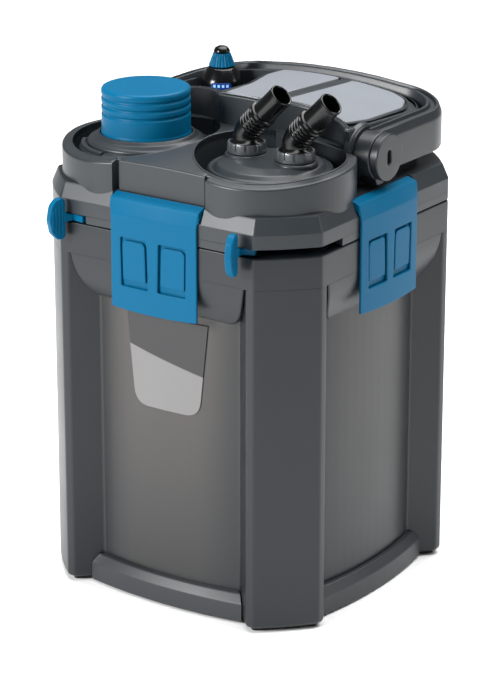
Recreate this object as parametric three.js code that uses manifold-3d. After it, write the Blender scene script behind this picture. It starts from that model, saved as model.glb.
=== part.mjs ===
// External canister filter for an aquarium, with a built-in heater, a lift-out
// prefilter and a hand primer. Millimetres, +Z up, front towards -Y. The origin
// is at the middle of the base.
import * as THREE from 'three';
import { mergeVertices } from 'three/addons/utils/BufferGeometryUtils.js';
import Module from 'manifold-3d';

const wasm = await Module();
wasm.setup();

// ---- driving dimensions ----
const gap = 0.3; // clearance between neighbouring pieces
const half = 120; // half width of the collar, columns and head flange
const corner = 34.5; // leg of each cut-off corner
const facetBulge = 1.5; // how far a corner facet bows outward
const columnEdge = 79; // where a column's flat side ends
const panelEdge = 62.5; // where a recessed side panel starts
const panelDepth = 16.5; // how deep the side panels lie behind the columns
const panelBow = 6.5; // outward bow of a side panel at its middle
const baseZ = 3; // underside of the canister above its feet
const partingZ = 285.8; // joint plane between canister and head
const flangeTopZ = 302.8; // top of the head flange's upright band
const deckZ = 314; // top of the flange's chamfer
const deckInset = 5;
const towerX = 55; // the two round towers stand at (+-towerX, -towerX)
const towerY = -55;
const towerR = 62;
const pocketR = 54.2;
const pocketZ = 318; // floor of the towers' pockets
const towerFlat = 111.4; // flat faces between the towers and above each latch
const plateauFront = -16;
const plateauRear = 97.5;
const plateauHalf = 96.5;
const heater = { x: -79, y: 75 }; // axis of the heater
const motor = { x: 50, y: 45 }; // axis of the pump motor
const nozzleOffset = 21; // each hose nozzle from the middle of its tower
const nozzleShift = 1; // the nozzles stand this far behind the tower's axis
const handleY = 2; // hinge axis of the carrying handle
const handleZ = 337;
const latchPin = { y: -113.2, z: 311.4, r: 2.5 }; // hinge axis of the front latch
const latchHalf = 39; // half width of a latch
const catchBack = 118.7; // rear face of a latch's catch, let into the collar
const catchHalf = 31;
const leverAngle = { left: 250.5, right: 284.5 }; // degrees about each tower
const leverReach = 86.6; // outer radius of a lever's grip about its tower
const glandX = 60;

const sides = ['front', 'right', 'rear', 'left'];
const diagonals = ['front_left', 'front_right', 'rear_right', 'rear_left'];

// ---- finishes ----
const finish = (color, roughness, metalness = 0) =>
  new THREE.MeshStandardMaterial({ color, roughness, metalness, flatShading: true });
const housingGrey = finish(0x55534f, 0.55);
const slateGrey = finish(0x4a4e52, 0.5);
const trimGrey = finish(0x5f5d5a, 0.6);
const panelGrey = finish(0xa9abb0, 0.45);
const clipBlue = finish(0x0b6ea4, 0.35);
const glossBlack = finish(0x101112, 0.2);
const satinBlack = finish(0x1c1c1e, 0.5);
const nutMetal = finish(0x6f7275, 0.35, 0.6);
const rubberBlack = finish(0x161616, 0.85);
const labelGrey = finish(0x8f9194, 0.5);
const trayGrey = finish(0x33363a, 0.6);
const foamBlue = finish(0x2a6f9b, 0.95);
const foamOrange = finish(0xc8702a, 0.95);
const ceramicTan = finish(0xb9a78c, 0.9);
const ceramicWhite = finish(0xe8e6e0, 0.3);
const heaterGlass = finish(0xc9d4d8, 0.1);
const displayBlue = finish(0x9fd0ea, 0.3);
const magnetGrey = finish(0x3c3c40, 0.4, 0.4);
const springSteel = finish(0xb9bcc0, 0.3, 0.9);

const part = new THREE.Group();

// ---- solids ----
function toSolid(geometry) {
  const bare = geometry.clone();
  bare.deleteAttribute('normal');
  bare.deleteAttribute('uv');
  const merged = mergeVertices(bare, 1e-4);
  const at = merged.attributes.position.array;
  const triangles = [];
  let volume = 0;
  for (let i = 0; i < merged.index.count; i += 3) {
    const [a, b, c] = [0, 1, 2].map((k) => merged.index.getX(i + k));
    if (a === b || b === c || c === a) continue;
    triangles.push([a, b, c]);
    const [p, q, r] = [a, b, c].map((v) => new THREE.Vector3().fromArray(at, 3 * v));
    volume += p.dot(q.cross(r));
  }
  const facing = volume < 0 ? triangles.map(([a, b, c]) => [a, c, b]) : triangles;
  return new wasm.Manifold(new wasm.Mesh({
    numProp: 3,
    vertProperties: new Float32Array(at),
    triVerts: new Uint32Array(facing.flat()),
  }));
}

function geometryOf(solid) {
  const data = solid.getMesh();
  const geometry = new THREE.BufferGeometry();
  geometry.setAttribute('position', new THREE.BufferAttribute(data.vertProperties, 3));
  geometry.setIndex(new THREE.BufferAttribute(data.triVerts, 1));
  return geometry;
}

// the solid turned about the Z axis
const spun = (solid, angle) => toSolid(geometryOf(solid).rotateZ(angle));

function addPiece(name, solid, material, parent = part) {
  const geometry = geometryOf(solid);
  geometry.computeVertexNormals();
  const mesh = new THREE.Mesh(geometry, material);
  mesh.name = name;
  parent.add(mesh);
  return mesh;
}

const join = (...solids) => solids.reduce((whole, next) => whole.add(next));
const cut = (solid, ...tools) => tools.reduce((rest, tool) => rest.subtract(tool), solid);

function extrusion(points, depth) {
  const shape = new THREE.Shape(points.map(([a, b]) => new THREE.Vector2(a, b)));
  return new THREE.ExtrudeGeometry(shape, { depth, bevelEnabled: false });
}

// an outline of (x, y) points, from z0 up to z1
function prismZ(points, z0, z1) {
  return toSolid(extrusion(points, z1 - z0).translate(0, 0, z0));
}

// an outline of (x, z) points, from y0 back to y1
function prismY(points, y0, y1) {
  return toSolid(extrusion(points, y1 - y0).rotateX(Math.PI / 2).translate(0, y1, 0));
}

// an outline of (y, z) points, from x0 across to x1
function prismX(points, x0, x1) {
  const turn = new THREE.Matrix4().set(0, 0, 1, x0, 1, 0, 0, 0, 0, 1, 0, 0, 0, 0, 0, 1);
  return toSolid(extrusion(points, x1 - x0).applyMatrix4(turn));
}

function box(x0, x1, y0, y1, z0, z1) {
  const shape = new THREE.BoxGeometry(x1 - x0, y1 - y0, z1 - z0);
  return toSolid(shape.translate((x0 + x1) / 2, (y0 + y1) / 2, (z0 + z1) / 2));
}

function cone(lowR, highR, z0, z1, x = 0, y = 0, segments = 24) {
  const shape = new THREE.CylinderGeometry(highR, lowR, z1 - z0, segments);
  return toSolid(shape.rotateX(Math.PI / 2).translate(x, y, (z0 + z1) / 2));
}

const cylinder = (r, z0, z1, x = 0, y = 0, segments = 24) =>
  cone(r, r, z0, z1, x, y, segments);

function cylinderX(r, x0, x1, y, z, segments = 24) {
  const shape = new THREE.CylinderGeometry(r, r, x1 - x0, segments);
  return toSolid(shape.rotateZ(Math.PI / 2).translate((x0 + x1) / 2, y, z));
}

// a closed profile of (radius, z) points, turned about a vertical axis
function turned(profile, x = 0, y = 0, segments = 24) {
  const points = [...profile, profile[0]].map(([r, z]) => new THREE.Vector2(r, z));
  const shape = new THREE.LatheGeometry(points, segments);
  return toSolid(shape.rotateX(Math.PI / 2).translate(x, y, 0));
}

// closed outlines of equal length, [points, z] from the bottom up, joined by flat sides
function loft(sections) {
  const count = sections[0][0].length;
  const position = sections.flatMap(([points, z]) => points.flatMap(([x, y]) => [x, y, z]));
  const flat = sections[0][0].map(([x, y]) => new THREE.Vector2(x, y));
  const top = (sections.length - 1) * count;
  const index = [];
  for (const [a, b, c] of THREE.ShapeUtils.triangulateShape(flat, [])) {
    index.push(a, c, b, top + a, top + b, top + c);
  }
  for (let low = 0; low < top; low += count) {
    for (let i = 0; i < count; i += 1) {
      const next = (i + 1) % count;
      const high = low + count;
      index.push(low + i, low + next, high + next, low + i, high + next, high + i);
    }
  }
  const geometry = new THREE.BufferGeometry();
  geometry.setAttribute('position', new THREE.Float32BufferAttribute(position, 3));
  geometry.setIndex(index);
  return toSolid(geometry);
}

// a block whose top follows height(x, y)
function crowned(height, x0, x1, y0, y1, floorZ, across = 12, along = 6) {
  const shape = new THREE.BoxGeometry(x1 - x0, y1 - y0, 1, across, along, 1);
  shape.translate((x0 + x1) / 2, (y0 + y1) / 2, 0);
  const at = shape.attributes.position;
  for (let i = 0; i < at.count; i += 1) {
    at.setZ(i, at.getZ(i) > 0 ? height(at.getX(i), at.getY(i)) : floorZ);
  }
  return toSolid(shape);
}

// ---- outlines ----
const turnPoint = ([x, y], quarter) => {
  const angle = (quarter * Math.PI) / 2;
  const [c, s] = [Math.cos(angle), Math.sin(angle)];
  return [x * c - y * s, x * s + y * c];
};

// points from (x0, d) to (x1, d) on the front side, bowed outward by bow at the middle
function bowed(x0, x1, d, bow, steps) {
  return Array.from({ length: steps + 1 }, (_, i) => {
    const t = (2 * i) / steps - 1;
    return [x0 + ((x1 - x0) * (t + 1)) / 2, -(d + bow * (1 - t * t))];
  });
}

const diagonalInset = Math.tan(Math.PI / 8); // sideways shift of a 135 degree corner

// the facet bulge sits halfway between two sides
function facetPoint(inset) {
  const reach = half - corner / 2 - inset / Math.SQRT2 + facetBulge / Math.SQRT2;
  return [reach, -reach];
}

// the square with cut-off corners that the collar and the head flange share
function collarOutline(inset = 0) {
  const edge = half - corner - inset * diagonalInset;
  const side = [[-edge, inset - half], [edge, inset - half], facetPoint(inset)];
  return [0, 1, 2, 3].flatMap((quarter) => side.map((p) => turnPoint(p, quarter)));
}

function roundedSquare(reach, radius, steps = 3) {
  const points = [];
  for (let quarter = 0; quarter < 4; quarter += 1) {
    for (let i = 0; i <= steps; i += 1) {
      const angle = -Math.PI / 2 + (i * Math.PI) / 2 / steps;
      const x = reach - radius + radius * Math.cos(angle);
      const y = radius - reach + radius * Math.sin(angle);
      points.push(turnPoint([x, y], quarter));
    }
  }
  return points;
}

// ---- canister ----
function sideRecess() {
  const wide = columnEdge + 2;
  const outside = half + 2;
  const panel = bowed(-panelEdge, panelEdge, half - panelDepth, panelBow, 6);
  const plan = prismZ([[-wide, -outside], ...panel, [wide, -outside]].reverse(), 0, 270);
  const arch = new THREE.QuadraticBezierCurve(
    new THREE.Vector2(58, 230), new THREE.Vector2(72, 231), new THREE.Vector2(77, 262));
  const left = arch.getPoints(5).map((p) => [-p.x, p.y]);
  const right = arch.getPoints(5).map((p) => [p.x, p.y]).reverse();
  const face = prismY([[-82, 0], [82, 0], [82, 262], ...right, ...left, [-82, 262]],
    -outside, -outside + 40);
  return plan.intersect(face);
}

// the part of the collar that curves in above each side panel
function skirtRelief() {
  const skirtTop = 262;
  const skirtBottom = 228;
  const curve = Array.from({ length: 5 }, (_, i) => {
    const t = i / 4;
    return [-half + 11 * t * t, skirtTop - (skirtTop - skirtBottom) * t];
  });
  const outer = [[-half - 2, skirtBottom], [-half - 2, skirtTop]];
  return prismX([...outer, ...curve], -78.5, 78.5);
}

const quarters = [0, 1, 2, 3];
const onSide = (solid, quarter) => spun(solid, (quarter * Math.PI) / 2);
const vesselHalf = half - panelDepth - 4; // inside of the water vessel
const wall = 3.5;

// hollow of a corner column, open at the bottom
function columnHollow() {
  const low = columnEdge + wall / 2;
  const facet = half - corner - wall * diagonalInset;
  const inner = vesselHalf + wall;
  const outer = half - wall;
  const bend = panelEdge + wall * 1.5;
  return [[low, -outer], [facet, -outer], [outer, -facet], [outer, -low],
    [inner, -bend], [inner, 14 - inner], [inner - 14, -inner], [bend, -inner]];
}

const mouthHalf = 112.5;
let canister = loft([[collarOutline(3), baseZ], [collarOutline(), baseZ + 3],
  [collarOutline(), partingZ - gap]]);
for (const quarter of quarters) {
  canister = cut(canister, onSide(sideRecess(), quarter), onSide(skirtRelief(), quarter),
    onSide(box(-catchHalf - 1, catchHalf + 1, -half - 1, 0.5 - catchBack, 240, partingZ),
      quarter),
    prismZ(columnHollow().map((p) => turnPoint(p, quarter)), 0, 222));
}
canister = cut(canister, prismZ(roundedSquare(vesselHalf, 12), baseZ + 4, 260),
  prismZ(collarOutline(half - mouthHalf), 240, partingZ + 1));
addPiece('canister_shell', canister, housingGrey);

// low trim plates between the columns
const trimGap = 2 * gap;
const trimRear = half - panelDepth + trimGap;
const trimPlan = (inset) => [...bowed(-69 + inset, 69 - inset, 111.5 - inset, panelBow, 6),
  ...bowed(-62, 62, trimRear, panelBow, 6).reverse()];
for (const quarter of quarters) {
  const turn = (points) => points.map((p) => turnPoint(p, quarter));
  const trim = loft([[turn(trimPlan(0)), 1.5], [turn(trimPlan(0)), 16],
    [turn(trimPlan(4)), 22.5]]);
  addPiece(`base_trim_${sides[quarter]}`, trim, trimGrey);
}

// rubber feet under the columns
const footEdge = half - 5;
const footPlan = [[columnEdge + 2, -footEdge], [half - corner - 2, -footEdge],
  [footEdge, -(half - corner - 2)], [footEdge, -columnEdge - 2], [106, -70], [70, -106]];
for (const quarter of quarters) {
  const points = footPlan.map((p) => turnPoint(p, quarter - 1));
  addPiece(`rubber_foot_${diagonals[quarter]}`, prismZ(points, 0, baseZ - gap), rubberBlack);
}

// plain data plate, wrapped on the front panel below the latch
const plateBand = [...bowed(-panelEdge, panelEdge, half - panelDepth + 1, panelBow, 12),
  ...bowed(-panelEdge, panelEdge, half - panelDepth + gap, panelBow, 12).reverse()];
const plateFace = [[-34, 224], [-28, 167], [-25, 157], [-15, 153], [19, 153], [29, 157],
  [32, 167], [38, 224]];
addPiece('front_plate', prismZ(plateBand, 150, 226).intersect(prismY(plateFace, -125, -100)),
  labelGrey);

// ---- filter media ----
const trayHalf = vesselHalf - 2.5;
const trayNotch = -10; // the prefilter stands in the front left corner
const trayHeight = 74;
const trayPlan = (inset) => {
  const outer = trayHalf - inset;
  const notch = trayNotch + inset;
  const bevel = 6;
  return [[notch, -outer], [outer - bevel, -outer], [outer, bevel - outer],
    [outer, outer - bevel], [outer - bevel, outer], [bevel - outer, outer],
    [-outer, outer - bevel], [-outer, notch], [notch, notch]];
};
const trayKinds = [['lower', foamBlue, 'coarse_foam'], ['middle', foamOrange, 'fine_foam'],
  ['upper', ceramicTan, 'ceramic_media']];
trayKinds.forEach(([level, material, media], i) => {
  const z = baseZ + 4 + 6 + i * (trayHeight + gap);
  const heaterSleeve = cylinder(17.5, z, z + trayHeight, heater.x, heater.y);
  let tray = cut(prismZ(trayPlan(0), z, z + trayHeight), prismZ(trayPlan(2), z + 2.5, z + 80));
  tray = join(tray, heaterSleeve.intersect(prismZ(trayPlan(0), z, z + trayHeight)));
  for (let slot = 0; slot < 5; slot += 1) {
    const y = 6 + slot * 17;
    tray = cut(tray, box(-52, 84, y, y + 8, z - 1, z + 3));
  }
  tray = cut(tray, cylinder(15.5, z - 1, z + 80, heater.x, heater.y));
  addPiece(`media_tray_${level}`, tray, trayGrey);
  const filling = cut(prismZ(trayPlan(2 + gap), z + 2.5 + gap, z + trayHeight - 4),
    cylinder(18, z, z + 80, heater.x, heater.y));
  addPiece(media, filling, material);
});

// ---- head ----
const deckHeight = (x, y) => 346.5 - 0.0006 * x * x - 0.0022 * Math.max(0, -(y + 45)) ** 2;
const plateauHeight = (x, y) => 369 - 0.00125 * x * x - 0.05 * (y - plateauFront);
const lower = (height, by) => (x, y) => height(x, y) - by;
const towers = [['left', -towerX], ['right', towerX]];

function plateauPlan(inset) {
  const reach = plateauHalf - inset;
  const rear = plateauRear - inset;
  const radius = 25.5 - inset;
  const round = (side) => Array.from({ length: 5 }, (_, i) => {
    const angle = (i * Math.PI) / 8;
    const x = reach - radius + radius * Math.cos(angle);
    return [side * x, rear - radius + radius * Math.sin(angle)];
  });
  return [[-reach, plateauFront + inset], [reach, plateauFront + inset],
    ...round(1), ...round(-1).reverse()];
}

function ringSector(r0, r1, fromDegrees, toDegrees, z0, z1, x, y) {
  const steps = Math.ceil((toDegrees - fromDegrees) / 7.5);
  const arc = (r) => Array.from({ length: steps + 1 }, (_, i) => {
    const angle = THREE.MathUtils.degToRad(
      fromDegrees + ((toDegrees - fromDegrees) * i) / steps);
    return [x + r * Math.cos(angle), y + r * Math.sin(angle)];
  });
  return prismZ([...arc(r1), ...arc(r0).reverse()], z0, z1);
}

const headZ = partingZ + gap;
const slotTopZ = 292.2;
const leverSlot = { left: [189, 264], right: [277, 356] };

let head = loft([[collarOutline(), headZ], [collarOutline(), flangeTopZ],
  [collarOutline(deckInset), deckZ]]);
const towerBlock = join(
  box(-towerX, towerX, -towerFlat, plateauFront + 6, 300, 350),
  ...towers.map(([, x]) => cylinder(towerR, 300, 350, x, towerY, 44)));
head = join(head, towerBlock.intersect(crowned(deckHeight, -125, 125, -125, 10, 290, 8, 6)));
head = join(head, prismZ(plateauPlan(0), 300, 375).intersect(
  crowned(plateauHeight, -100, 100, -20, 105, 290, 10, 1)));

// a shoulder and a hinge boss for the handle on each side of the plateau
for (const side of [-1, 1]) {
  const span = (a, b) => (side > 0 ? [a, b] : [-b, -a]);
  head = cut(head, cylinderX(21.5, ...span(98.2, 125), handleY, handleZ, 32));
  head = join(head, cylinderX(22, ...span(94, 97.9), handleY, handleZ, 32),
    cylinderX(9, ...span(95, 112.7), handleY, handleZ));
}

// open well around the heater's knob, left of the top panels
const wellZ = 346;
function heaterWell(margin, floorZ) {
  const right = margin - 24;
  const plan = [[-100, -20], [right, -20], [right, 30], [right - 13.5, 70],
    [right - 14.5, 110], [-100, 110]];
  return cut(prismZ(plateauPlan(wall - margin), floorZ, 380).intersect(prismZ(plan, 300, 390)),
    cylinder(pocketR + wall - margin, 300, 390, -towerX, towerY, 48));
}

// hollow underneath, kept clear of the pockets and of the heater's recess
let hollow = join(
  loft([[collarOutline(5), headZ - 1], [collarOutline(5), flangeTopZ - 2],
    [collarOutline(12), deckZ - 4.7]]),
  prismZ(plateauPlan(3.5), 300, 370).intersect(
    crowned(lower(plateauHeight, 5), -100, 100, -20, 105, 290, 10, 1)));
hollow = cut(hollow, heaterWell(wall, wellZ - wall),
  cylinder(23, 280, 380, heater.x, heater.y),
  ...towers.map(([, x]) => cylinder(pocketR + 3.5, 310, 380, x, towerY, 48)));
head = cut(head, hollow);
for (const [name, x] of towers) {
  const [from, to] = leverSlot[name];
  head = cut(head, cylinder(pocketR, pocketZ, 380, x, towerY, 40),
    cylinder(44, 280, pocketZ + 1, x, towerY, 36),
    ringSector(50, 95, from, to, headZ - 1, slotTopZ, x, towerY));
}
head = cut(head, heaterWell(0, wellZ), cylinder(19.5, wellZ, 380, heater.x, heater.y),
  cylinder(13.4, 280, 350, heater.x, heater.y));
// each latch has a groove for its hinge pin and a flat seat above it
const seatHalf = latchHalf + 1;
const latchSeat = [[-half - 1, flangeTopZ + 0.4], [-half, flangeTopZ + 0.4],
  [-towerFlat, deckZ - 0.6], [-towerFlat, 350], [-half - 1, 350]];
for (const quarter of quarters) {
  head = cut(head, onSide(prismX(latchSeat, -seatHalf, seatHalf), quarter), onSide(
    cylinderX(latchPin.r + 0.4, -seatHalf, seatHalf, latchPin.y, latchPin.z, 16), quarter));
}

// light panels let into the top of the plateau
const panelPlans = {
  left: [[-14, -14], [19, -14], [19, 94], [-35, 94], [-34, 70], [-20, 30]],
  right: [[30, -14], [56, -1], [86, -6], [90, 20], [88, 70], [80, 88], [66, 94], [30, 94]],
};
const grow = (points, by) => {
  const middle = points.reduce(([a, b], [x, y]) => [a + x / points.length, b + y / points.length],
    [0, 0]);
  return points.map(([x, y]) => {
    const length = Math.hypot(x - middle[0], y - middle[1]);
    const k = 1 + by / length;
    return [middle[0] + (x - middle[0]) * k, middle[1] + (y - middle[1]) * k];
  });
};
for (const [name, points] of Object.entries(panelPlans)) {
  const clear = cylinder(pocketR + 3, 340, 380, towerX, towerY, 48);
  const slab = (by, outline) => cut(prismZ(outline, 340, 375),
    crowned(lower(plateauHeight, by), -100, 100, -20, 105, 290, 10, 1));
  head = cut(head, cut(slab(1.6, grow(points, 0.8)), clear));
  const panel = cut(slab(1.6 - gap, points), cylinder(pocketR + 4, 340, 380, towerX, towerY, 48))
    .intersect(crowned(plateauHeight, -100, 100, -20, 105, 290, 10, 1));
  addPiece(`top_panel_${name}`, panel, panelGrey);
}
head = cut(head, toSolid(new THREE.CylinderGeometry(6.4, 6.4, 20, 20)
  .translate(glandX, half - 5, 297)));
addPiece('head_housing', head, housingGrey);

// pressure plate that closes the head and plugs the canister's mouth
const plugInset = half - mouthHalf + 0.6;
const plate = cut(prismZ(collarOutline(plugInset), 246, partingZ),
  prismZ(collarOutline(plugInset + 3), 240, 280),
  cylinder(44.5, 270, 290, -towerX, towerY, 36), cylinder(41.5, 270, 290, towerX, towerY, 36),
  cylinder(13.6, 270, 290, heater.x, heater.y), cylinder(15, 270, 290, motor.x, motor.y));
addPiece('head_base_plate', plate, satinBlack);
addPiece('head_seal', cut(prismZ(collarOutline(plugInset), 240 + gap, 246 - gap),
  prismZ(collarOutline(plugInset + 4), 240, 250)), rubberBlack);

// power lead gland on the rear, with no lead in it; it reaches as far back as
// the right lever's grip reaches forward
const gripHalf = 3.25;
const rightLever = THREE.MathUtils.degToRad(leverAngle.right);
const gripFront = -towerY - leverReach * Math.sin(rightLever) + gripHalf * Math.cos(rightLever);
const gland = turned([[3.4, half - 7], [6, half - 7], [6, half + gap], [9.5, half + gap],
  [9.5, half + 4], [7.5, half + 5], [5.5, gripFront], [3.4, gripFront]], 0, 0, 20);
const glandMesh = addPiece('cable_gland', gland, rubberBlack);
glandMesh.rotation.x = -Math.PI / 2;
glandMesh.position.set(glandX, 0, 297);

// ---- heater ----
const heaterHead = turned([[0, 275.3], [13, 275.3], [13, 346.4], [16.5, 346.4], [16.5, 351],
  [14.5, 357], [10.5, 362.6], [0, 362.6]], 0, 0, 32);
const windowAngle = -1; // radians, towards the front right
const windowBox = (by) => box(13 - by, 18, -7 - by, 7 + by, 348 - by, 353.5 + by);
const heaterGroup = new THREE.Group();
heaterGroup.position.set(heater.x, heater.y, 0);
heaterGroup.rotation.z = windowAngle;
part.add(heaterGroup);
addPiece('heater_head', cut(heaterHead, windowBox(gap)), glossBlack, heaterGroup);
addPiece('heater_window', windowBox(0).intersect(cylinder(16.3, 340, 360, 0, 0, 32)),
  displayBlue, heaterGroup);
addPiece('heater_tube', turned([[0, 90], [6, 91], [10.5, 95], [12, 100], [12, 275], [0, 275]]),
  heaterGlass, heaterGroup);
addPiece('heater_dial_ring', turned([[5.2, 363], [9.8, 363], [10.2, 364], [6.6, 373.4],
  [5.2, 373.4]]), clipBlue, heaterGroup);
addPiece('heater_dial_cap', turned([[0, 363.2], [4.9, 363.2], [4.9, 373.7], [6.4, 373.7],
  [6, 376], [4, 378.2], [0, 379]]), glossBlack, heaterGroup);

// ---- pump ----
const pump = new THREE.Group();
pump.position.set(motor.x, motor.y, 0);
part.add(pump);
addPiece('motor_housing', turned([[11.5, 286.4], [26, 286.4], [26, 341], [23, 345], [0, 345],
  [0, 337], [5.3, 337], [5.3, 328.6], [11.5, 328.6]], 0, 0, 28), satinBlack, pump);
addPiece('volute_cover', turned([[9, 252], [27, 252], [29, 256], [29, 279.6], [24, 279.6],
  [24, 256], [9, 256]], 0, 0, 28), satinBlack, pump);
addPiece('rotor_magnet', turned([[1.8, 276], [9.5, 276], [9.5, 327.5], [1.8, 327.5]]),
  magnetGrey, pump);
let impeller = turned([[1.8, 258.5], [6, 258.5], [6, 271], [20, 271], [20, 273], [6, 273],
  [6, 275.7], [1.8, 275.7]]);
for (let blade = 0; blade < 6; blade += 1) {
  const vane = box(5, 19.5, -0.9, 0.9, 259.5, 271.5);
  impeller = join(impeller, spun(vane, (blade * Math.PI) / 3));
}
addPiece('impeller', impeller, ceramicWhite, pump);
addPiece('pump_shaft', cylinder(1.5, 257, 336, 0, 0, 12), ceramicWhite, pump);
addPiece('shaft_bush', turned([[1.8, 329], [5, 329], [5, 336.4], [1.8, 336.4]], 0, 0, 16),
  rubberBlack, pump);

// ---- carrying handle ----
function handlePlan(reach, rear, radius) {
  const round = (side) => Array.from({ length: 7 }, (_, i) => {
    const angle = (i * Math.PI) / 12;
    const x = reach - radius + radius * Math.cos(angle);
    return [side * x, rear - radius + radius * Math.sin(angle)];
  });
  return [[-reach, handleY], [reach, handleY], ...round(1), ...round(-1).reverse()];
}
const armIn = 99;
const armOut = 113;
const bailSide = prismX([[0, 331], [14, 325.5], [26, 324], [120, 324], [120, 370], [0, 370]],
  -120, 120);
const bailHeight = (x) => 365.2 - 0.0009 * x * x;
let handle = cut(prismZ(handlePlan(armOut, 115.5, 42), 320, 370),
  prismZ(handlePlan(armIn, 101.5, 28), 310, 380),
  box(-armIn, armIn, -20, handleY + 1, 310, 380))
  .intersect(bailSide)
  .intersect(crowned(bailHeight, -120, 120, -20, 120, 300, 14, 1));
for (const side of [-1, 1]) {
  const span = (a, b) => (side > 0 ? [a, b] : [-b, -a]);
  handle = cut(join(handle, cylinderX(17.5, ...span(armIn, armOut), handleY, handleZ, 32)),
    cylinderX(9.4, ...span(90, 120), handleY, handleZ));
}
addPiece('carry_handle', handle, slateGrey);
for (const [name, side] of [['left', -1], ['right', 1]]) {
  const span = (a, b) => (side > 0 ? [a, b] : [-b, -a]);
  const [low, high] = span(117.5, 121);
  const keyway = join(box(low, high, handleY - 2.5, handleY + 2.5, handleZ - 3, handleZ + 3),
    cylinderX(2.5, low, high, handleY, handleZ - 3, 16),
    cylinderX(2.5, low, high, handleY, handleZ + 3, 16));
  const cap = cylinderX(17.5, ...span(armOut + gap, 119.7), handleY, handleZ, 36);
  addPiece(`pivot_cap_${name}`, cut(cap, keyway), slateGrey);
}

// ---- latches ----
const latchBow = 1.2;
const latchWindow = [4.6, 29.4]; // from the middle, either side of the bar between them
const latchProfile = [[114.6, 313.2], [120.6, 311.2], [122.3, 299.5], [122.3, 229],
  [121.8, 228], [120.6, 228], [120.6, 303], [119.8, 304.6], [114.4, 310.6], [113.6, 309.2],
  [112.2, 312.6]];

function latchFrame() {
  const outline = latchProfile.map(([out, z]) => new THREE.Vector2(-out, z));
  const shape = new THREE.ExtrudeGeometry(new THREE.Shape(outline),
    { depth: 2 * latchHalf, steps: 6, bevelEnabled: false });
  shape.applyMatrix4(new THREE.Matrix4().set(
    0, 0, 1, -latchHalf, 1, 0, 0, 0, 0, 1, 0, 0, 0, 0, 0, 1));
  const at = shape.attributes.position;
  for (let i = 0; i < at.count; i += 1) {
    const across = at.getX(i) / latchHalf;
    if (at.getY(i) < -121) at.setY(i, at.getY(i) - latchBow * (1 - across * across));
  }
  const frame = join(toSolid(shape),
    cylinderX(latchPin.r, -latchHalf, latchHalf, latchPin.y, latchPin.z, 16));
  const [near, far] = latchWindow;
  return cut(frame, box(-far, -near, -130, -118, 246.6, 283.2),
    box(near, far, -130, -118, 246.6, 283.2));
}

function latchCatch() {
  const front = -121.6;
  const [near, far] = [latchWindow[0] + 1.4, latchWindow[1] - 1.4];
  return join(box(-catchHalf, catchHalf, -120.3, -catchBack, 245.5, 284.6),
    box(-far, -near, front, -120, 252.5, 282), box(near, far, front, -120, 252.5, 282));
}

for (const quarter of quarters) {
  const name = sides[quarter];
  const turn = (quarter * Math.PI) / 2;
  addPiece(`latch_${name}`, latchFrame(), clipBlue).rotation.z = turn;
  addPiece(`latch_catch_${name}`, latchCatch(), clipBlue).rotation.z = turn;
}

// ---- lock levers under the towers ----
const gripProfile = [[72.6, 276], [75, 273.5], [80, 274], [84.5, 279], [leverReach, 289],
  [84.5, 299.5], [80, 304.2], [75, 304.7], [72.6, 302.5]];
const leverZ = [headZ + 0.5, slotTopZ - 0.8];
for (const [name, x] of towers) {
  const [z0, z1] = leverZ;
  const lever = join(turned([[47, z0], [53, z0], [53, z1], [47, z1]], 0, 0, 36),
    box(52, 73, -3, 3, z0, z1), ringSector(58, 66.3, 0, 11, z0, z1, 0, 0),
    prismY(gripProfile, -gripHalf, gripHalf));
  const mesh = addPiece(`lock_lever_${name}`, lever, clipBlue);
  mesh.rotation.z = THREE.MathUtils.degToRad(leverAngle[name]);
  mesh.position.set(x, towerY, 0);
}

// ---- prefilter and hand primer ----
const prefilter = new THREE.Group();
prefilter.position.set(-towerX, towerY, 0);
part.add(prefilter);
addPiece('prefilter_head', turned([[6.6, 314], [6.6, 319], [34, 319], [34, 343.3], [35.2, 343.3],
  [37, 340.2], [43.5, 340.2], [43.5, 333], [50, 333], [50, 318.4], [43, 318.4], [43, 262],
  [38, 262], [38, 314]], 0, 0, 36), housingGrey, prefilter);
let cage = turned([[0, 18], [41, 18], [41, 261.7], [38, 261.7], [38, 21], [0, 21]], 0, 0, 30);
for (let tier = 0; tier < 3; tier += 1) {
  const z = 28 + tier * 76;
  for (let i = 0; i < 3; i += 1) {
    cage = cut(cage, spun(box(-45, 45, -9, 9, z, z + 68), (i * Math.PI) / 3));
  }
}
addPiece('prefilter_cage', cage, trayGrey, prefilter);
addPiece('prefilter_foam', turned([[14, 21.5], [37.5, 21.5], [37.5, 256], [14, 256]], 0, 0, 28),
  foamOrange, prefilter);
addPiece('primer_button', turned([[0, 377], [31, 377], [32.8, 375], [32.8, 345], [33.5, 344],
  [33.5, 338], [30, 338], [30, 373.5], [5.8, 373.5], [5.8, 290], [0, 290]], 0, 0, 36),
  clipBlue, prefilter);
class Coil extends THREE.Curve {
  getPoint(t) {
    const angle = 2 * Math.PI * 5 * t;
    return new THREE.Vector3(12 * Math.cos(angle), 12 * Math.sin(angle), 320.5 + 51.5 * t);
  }
}
const wire = new THREE.Shape(Array.from({ length: 5 }, (_, i) => {
  const angle = (i * 2 * Math.PI) / 5;
  return new THREE.Vector2(0.9 * Math.cos(angle), 0.9 * Math.sin(angle));
}));
addPiece('primer_spring', toSolid(new THREE.ExtrudeGeometry(wire,
  { steps: 50, extrudePath: new Coil(), bevelEnabled: false })), springSteel, prefilter);

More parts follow.
